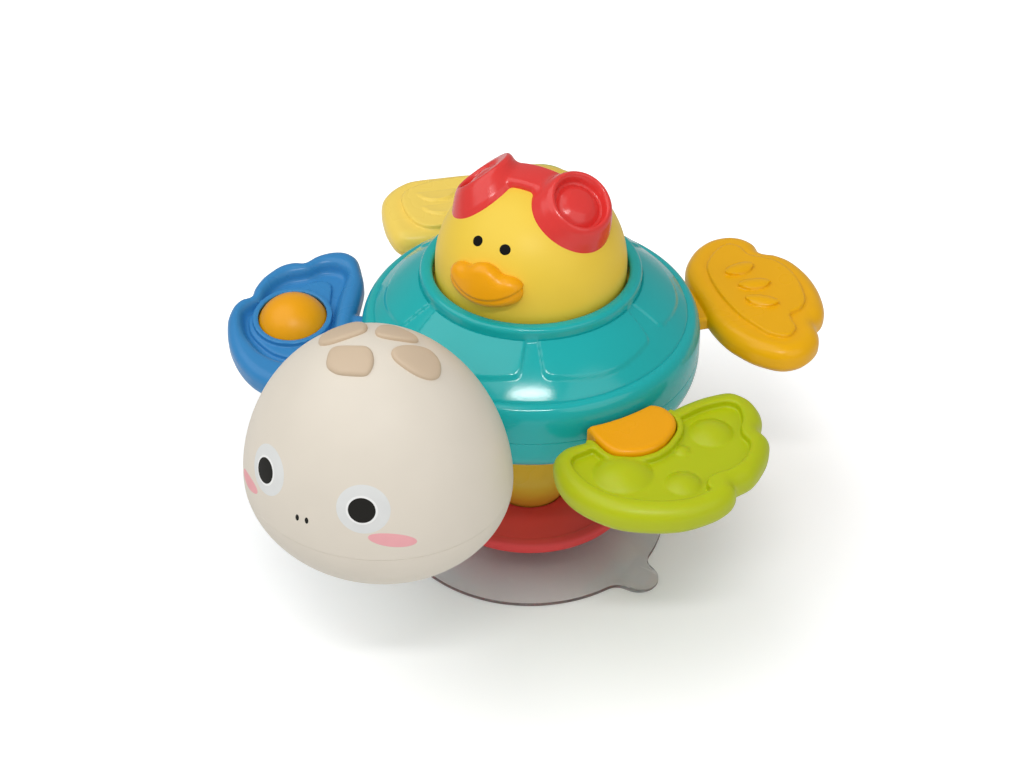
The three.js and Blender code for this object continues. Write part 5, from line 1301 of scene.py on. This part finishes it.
def read_map(distances, x, y):
    """Reads a distance map between its grid points."""
    u = np.clip((x - MAP_LOW[0]) / MAP_STEP, 0, distances.shape[0] - 1.01)
    v = np.clip((y - MAP_LOW[1]) / MAP_STEP, 0, distances.shape[1] - 1.01)
    i, j = u.astype(int), v.astype(int)
    u, v = u - i, v - j
    near = distances[i, j] * (1 - v) + distances[i, j + 1] * v
    far = distances[i + 1, j] * (1 - v) + distances[i + 1, j + 1] * v
    return near * (1 - u) + far * u


OUTER_MAPS = {name: distance_map(corners) for name, corners in OUTLINES.items()}
INNER_MAPS = {name: distance_map(corners) for name, corners in FIELDS.items()}


def outer_edge(name, x, y):
    """Signed distance to a flipper's outline, hollowed where it faces the shell."""
    return smooth_max(read_map(OUTER_MAPS[name], x, y), CLEARANCE[name] - np.hypot(x, y), 1.2)


def inner_edge(name, x, y):
    """Signed distance to the inner edge of a flipper's rim."""
    return read_map(INNER_MAPS[name], x, y)


def parting_line(body, z):
    """Draws the faint line round a hard flipper where its two halves meet."""
    return body + PARTING_DEPTH * np.exp(-((z - PARTING_Z) / PARTING_HALF) ** 2)


def arm_field(x, y, z, outer):
    """The flat arm with the hinge barrel at its end inside the shell."""
    half = ARM_WIDTH / 2
    thick = ARM_THICKNESS / 2
    bar = block(x, y, z, (HINGE_REACH, -half, -thick), (outer, half, thick), 0.7)
    from_pin = np.hypot(x - HINGE_REACH, z)
    barrel = np.maximum(from_pin - HINGE_RADIUS, np.abs(y) - HINGE_HALF)
    return np.maximum(np.minimum(bar, barrel), HINGE_BORE_RADIUS - from_pin)


def green_field(points):
    """The soft plate: a sunk tray with bubbles, and a border round the place of the clip."""
    x, y, z = np.moveaxis(points, -1, 0)
    outline = outer_edge("green", x, y)
    floor = FLIPPER_TOP - GREEN_TRAY_DEPTH
    body = slab(outline, z, FLIPPER_TOP - FLIPPER_DEPTH, FLIPPER_TOP, form_mm("edge_round"))
    body = smooth_max(body, -smooth_max(inner_edge("green", x, y), floor - z, 0.7), 1.1)
    for bx, by, radius in BUBBLES:
        rise = BUBBLE_RISE * radius
        ball = (radius ** 2 + rise ** 2) / (2 * rise)
        cap = np.sqrt((x - bx) ** 2 + (y - by) ** 2 + (z - floor - rise + ball) ** 2) - ball
        body = smooth_min(body, np.maximum(cap, floor - 1 - z), 0.3)
    clip = read_map(OUTER_MAPS["clip"], x, y)
    border = np.maximum(clip - CLIP_BORDER, outline + 0.6)
    body = smooth_min(body, slab(border, z, CLIP_LOW - 2, FLIPPER_TOP - 0.4, 0.8), 0.8)
    return smooth_max(body, -np.maximum(clip - GAP, CLIP_LOW - GAP - z), 0.5)


def clip_field(points):
    """The clip's pad, with its arm and the stud that holds the soft plate."""
    x, y, z = np.moveaxis(points, -1, 0)
    pad = slab(read_map(OUTER_MAPS["clip"], x, y), z, CLIP_LOW, CLIP_TOP, 1.6)
    pad = smooth_max(pad, CLEAR_RADIUS - np.hypot(x, y), 0.4)
    turn = math.radians(CLIP_TURN)
    u = x * math.cos(turn) + y * math.sin(turn)
    v = -x * math.sin(turn) + y * math.cos(turn)
    from_stud = np.hypot(u - CLEAR_RADIUS - CLIP_WIDTH / 4, v)
    stud = np.maximum(from_stud - CLIP_STUD_RADIUS, np.abs(z + CLIP_STUD_HALF) - CLIP_STUD_HALF)
    return np.minimum(smooth_min(pad, arm_field(u, v, z, CLEAR_RADIUS + 2), 0.6), stud)


def raised_plate(name, x, y, z, top, rise):
    """A hard plate with rolled edges, a parting line and a raised plateau."""
    body = slab(outer_edge(name, x, y), z, top - FLIPPER_DEPTH, top, form_mm("edge_round"))
    plateau = slab(inner_edge(name, x, y), z, top - 4, top + rise, 0.7)
    return smooth_min(parting_line(body, z), plateau, 0.6)


def orange_field(points):
    """The plate with three seeds on its plateau."""
    x, y, z = np.moveaxis(points, -1, 0)
    top = FLIPPER_TOP + ORANGE_LIFT
    body = raised_plate("orange", x, y, z, top, ORANGE_PLATEAU)
    length, width, rise = SEED_HALF
    bow = (length ** 2 + width ** 2) / (2 * width)
    for sx, sy, lean in SEEDS:
        c, s = math.cos(math.radians(lean)), math.sin(math.radians(lean))
        u, v = (x - sx) * c + (y - sy) * s, -(x - sx) * s + (y - sy) * c
        leaf = np.hypot(u, np.abs(v) + bow - width) - bow
        seed = ellipsoid(u, v, z - (top + ORANGE_PLATEAU), (SEED_STRETCH * length, width, rise))
        body = smooth_min(body, np.maximum(seed, leaf), 0.3)
    return smooth_min(body, arm_field(x, y, z, ARM_REACH), 0.5)


def yellow_field(points):
    """The plate with two wave steps on its plateau and a hole for the spinner's rivet."""
    x, y, z = np.moveaxis(points, -1, 0)
    level = FLIPPER_TOP + YELLOW_PLATEAU
    body = raised_plate("yellow", x, y, z, FLIPPER_TOP, YELLOW_PLATEAU)
    edge = inner_edge("yellow", x, y)
    half = math.radians(WAVE_HALF_ANGLE)
    for wx, wy, radius in WAVES:
        angle = np.arctan2(y - wy, wx - x)
        inward = radius - np.hypot(x - wx, y - wy)
        taper = np.clip(np.cos(angle / half * np.pi / 2), 0, 1) * (np.abs(angle) < half)
        fade = np.exp(-np.maximum(inward, 0) / WAVE_FADE) * np.clip(inward / 0.9 + 0.5, 0, 1)
        body = np.minimum(body, np.maximum(z - level - WAVE_RISE * taper ** 0.5 * fade, edge + 1))
    from_rivet = np.hypot(x - SPINNER_PLACE[0], y - SPINNER_PLACE[1])
    hole = np.maximum(from_rivet - SPINNER_BORE, RIVET_HOLE_Z - z)
    return np.maximum(smooth_min(body, arm_field(x, y, z, ARM_REACH), 0.5), -hole)


def blue_field(points):
    """The deep tray with a deck, a collar that holds the ball, the round pin and the axle's hole."""
    x, y, z = np.moveaxis(points, -1, 0)
    low = FLIPPER_TOP - FLIPPER_DEPTH
    floor = FLIPPER_TOP - BLUE_TRAY_DEPTH
    body = parting_line(slab(outer_edge("blue", x, y), z, low, FLIPPER_TOP, BLUE_EDGE_ROUND), z)
    tray = inner_edge("blue", x, y) + BLUE_TRAY_SLOPE * (BLUE_TRAY_MIDDLE - z)
    body = smooth_max(body, -smooth_max(tray, floor - z, 1.4), 2.2)
    deck = slab(inner_edge("blue_deck", x, y), z, floor - 2, floor + BLUE_DECK_RISE, 0.6)
    body = smooth_min(body, deck, 0.7)
    from_ball = np.hypot(x - BALL_REACH, y)
    hole = BALL_RADIUS + BALL_GAP
    ring = np.abs(from_ball - hole + 0.3) - BALL_COLLAR_HALF
    body = smooth_min(body, slab(ring, z, low + 1, BALL_COLLAR_TOP, 0.45), 0.5)
    body = np.maximum(body, hole - np.hypot(from_ball, z + BALL_DROP))
    body = np.maximum(body, np.minimum(hole - from_ball, -BALL_DROP - z))
    pin_middle, pin_half = (PIN_END + BLUE_PIN_REACH) / 2, (BLUE_PIN_REACH - PIN_END) / 2
    pin = np.maximum(np.hypot(y, z) - BLUE_PIN_RADIUS, np.abs(x - pin_middle) - pin_half)
    body = smooth_min(body, pin, 0.8)
    from_axle = np.hypot(x - BALL_REACH, z + BALL_DROP)
    axle = np.maximum(from_axle - AXLE_RADIUS, np.abs(y) - hole - AXLE_OVERHANG)
    return np.maximum(body, -axle)


def add_flipper(node, field, start, bearing, finish, body, slot, roll=0):
    """Adds a flipper or the clip from its field, at its bearing round the shell."""
    low = (start, *FLIPPER_LOW)
    points, faces = surface_net(field, low, FLIPPER_HIGH, form_mm("mesh_step"))
    add_skin(node, closed_mesh(at_pin(points, bearing, roll), faces), finish, body, slot)


class TURTLE_OT_flippers(bpy.types.Operator):
    """Makes the four flippers, each with its own relief, and the clip that holds the soft one"""
    bl_idname = "turtle.flippers"
    bl_label = "Flippers"

    def execute(self, context):
        lime = silicone_rubber("lime", colour_of("lime"))
        add_flipper("green_flipper", green_field, FLIPPER_START, GREEN_ANGLE, lime, "green",
                    "lime_silicone")
        orange = abs_plastic("orange", colour_of("beak"))
        add_flipper("green_clip", clip_field, ARM_START, GREEN_ANGLE, orange, "green", "orange_plastic")
        amber = abs_plastic("amber", colour_of("orange"))
        add_flipper("orange_flipper", orange_field, ARM_START, ORANGE_ANGLE, amber, "orange",
                    "orange_plastic")
        lemon = abs_plastic("lemon", colour_of("lemon"))
        add_flipper("yellow_flipper", yellow_field, ARM_START, YELLOW_ANGLE, lemon, "yellow",
                    "yellow_plastic")
        blue = abs_plastic("blue", colour_of("blue"))
        add_flipper("blue_flipper", blue_field, PIN_START, BLUE_ANGLE, blue, "blue",
                    "blue_plastic", BLUE_ROLL)
        return {"FINISHED"}


class TURTLE_OT_turning_pieces(bpy.types.Operator):
    """Makes the ball in the blue flipper and the disc on the yellow one"""
    bl_idname = "turtle.turning_pieces"
    bl_label = "Ball and spinner"

    def execute(self, context):
        points, faces = turned_ball(BALL_RADIUS, 81, 128)
        points = points[:, [0, 2, 1]] + np.array([BALL_REACH, 0, -BALL_DROP])
        ball = closed_mesh(at_pin(points, BLUE_ANGLE, BLUE_ROLL), faces)
        orange = satin_plastic("orange", colour_of("beak"), 0.36)
        add_skin("roller_ball", ball, orange, "ball", "orange_plastic")
        radius, low, high = SPINNER_RADIUS, SPINNER_LOW, SPINNER_LOW + SPINNER_HEIGHT
        well, well_depth = RIVET_WELL
        corners = [(SPINNER_BORE, low, 0.2), (radius, low, 0.8), (radius, high - 1, 1.4),
                   (radius * 0.72, high, 1.5), (radius * 0.66, high - 0.7, 0.5),
                   (radius * 0.5, high - 0.7, 0.5), (radius * 0.44, high, 0.6), (well, high, 0.4),
                   (well, high - well_depth, 0.2), (SPINNER_BORE, high - well_depth, 0)]
        points, faces = turned(rounded(corners), 128, ring=True)
        disc = closed_mesh(at_pin(points + np.array([*SPINNER_PLACE, 0]), YELLOW_ANGLE), faces)
        add_skin("lime_spinner", disc, abs_plastic("lime", colour_of("lime")), "spinner", "lime_plastic")
        return {"FINISHED"}


class TURTLE_OT_inner_pieces(bpy.types.Operator):
    """Gives the pins, screws and the guide under the duck their finishes"""
    bl_idname = "turtle.inner_pieces"
    bl_label = "Inner pieces"

    def execute(self, context):
        steel = zinc_steel()
        white = satin_plastic("white", linear("#e9e8e4"))
        for name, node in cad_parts.items():
            if node.hide_render:
                continue
            node.data.materials.clear()
            node.data.materials.append(white if name == "duck_guide" else steel)
        return {"FINISHED"}


class TURTLE_PT_panel(bpy.types.Panel):
    """Lists the steps that build the toy, with its colours and sizes"""
    bl_label = "Turtle toy"
    bl_idname = "TURTLE_PT_panel"
    bl_space_type = "VIEW_3D"
    bl_region_type = "UI"
    bl_category = "Turtle toy"

    def draw(self, context):
        for step in STEPS:
            self.layout.operator(step.bl_idname)
        for group in (context.scene.turtle_colours, context.scene.turtle_forms):
            for name in group.__annotations__:
                self.layout.prop(group, name)


STEPS = (TURTLE_OT_stage, TURTLE_OT_foot, TURTLE_OT_shell, TURTLE_OT_duck, TURTLE_OT_head,
         TURTLE_OT_flippers, TURTLE_OT_turning_pieces, TURTLE_OT_inner_pieces)
CLASSES = (ToyColours, ToyForms, *STEPS, TURTLE_PT_panel)


def register():
    for one in CLASSES:
        bpy.utils.register_class(one)
    bpy.types.Scene.turtle_colours = PointerProperty(type=ToyColours)
    bpy.types.Scene.turtle_forms = PointerProperty(type=ToyForms)


def unregister():
    del bpy.types.Scene.turtle_colours
    del bpy.types.Scene.turtle_forms
    for one in reversed(CLASSES):
        bpy.utils.unregister_class(one)


def main():
    register()
    for step in STEPS:
        group, name = step.bl_idname.split(".")
        getattr(getattr(bpy.ops, group), name)()


if __name__ == "__main__":
    main()
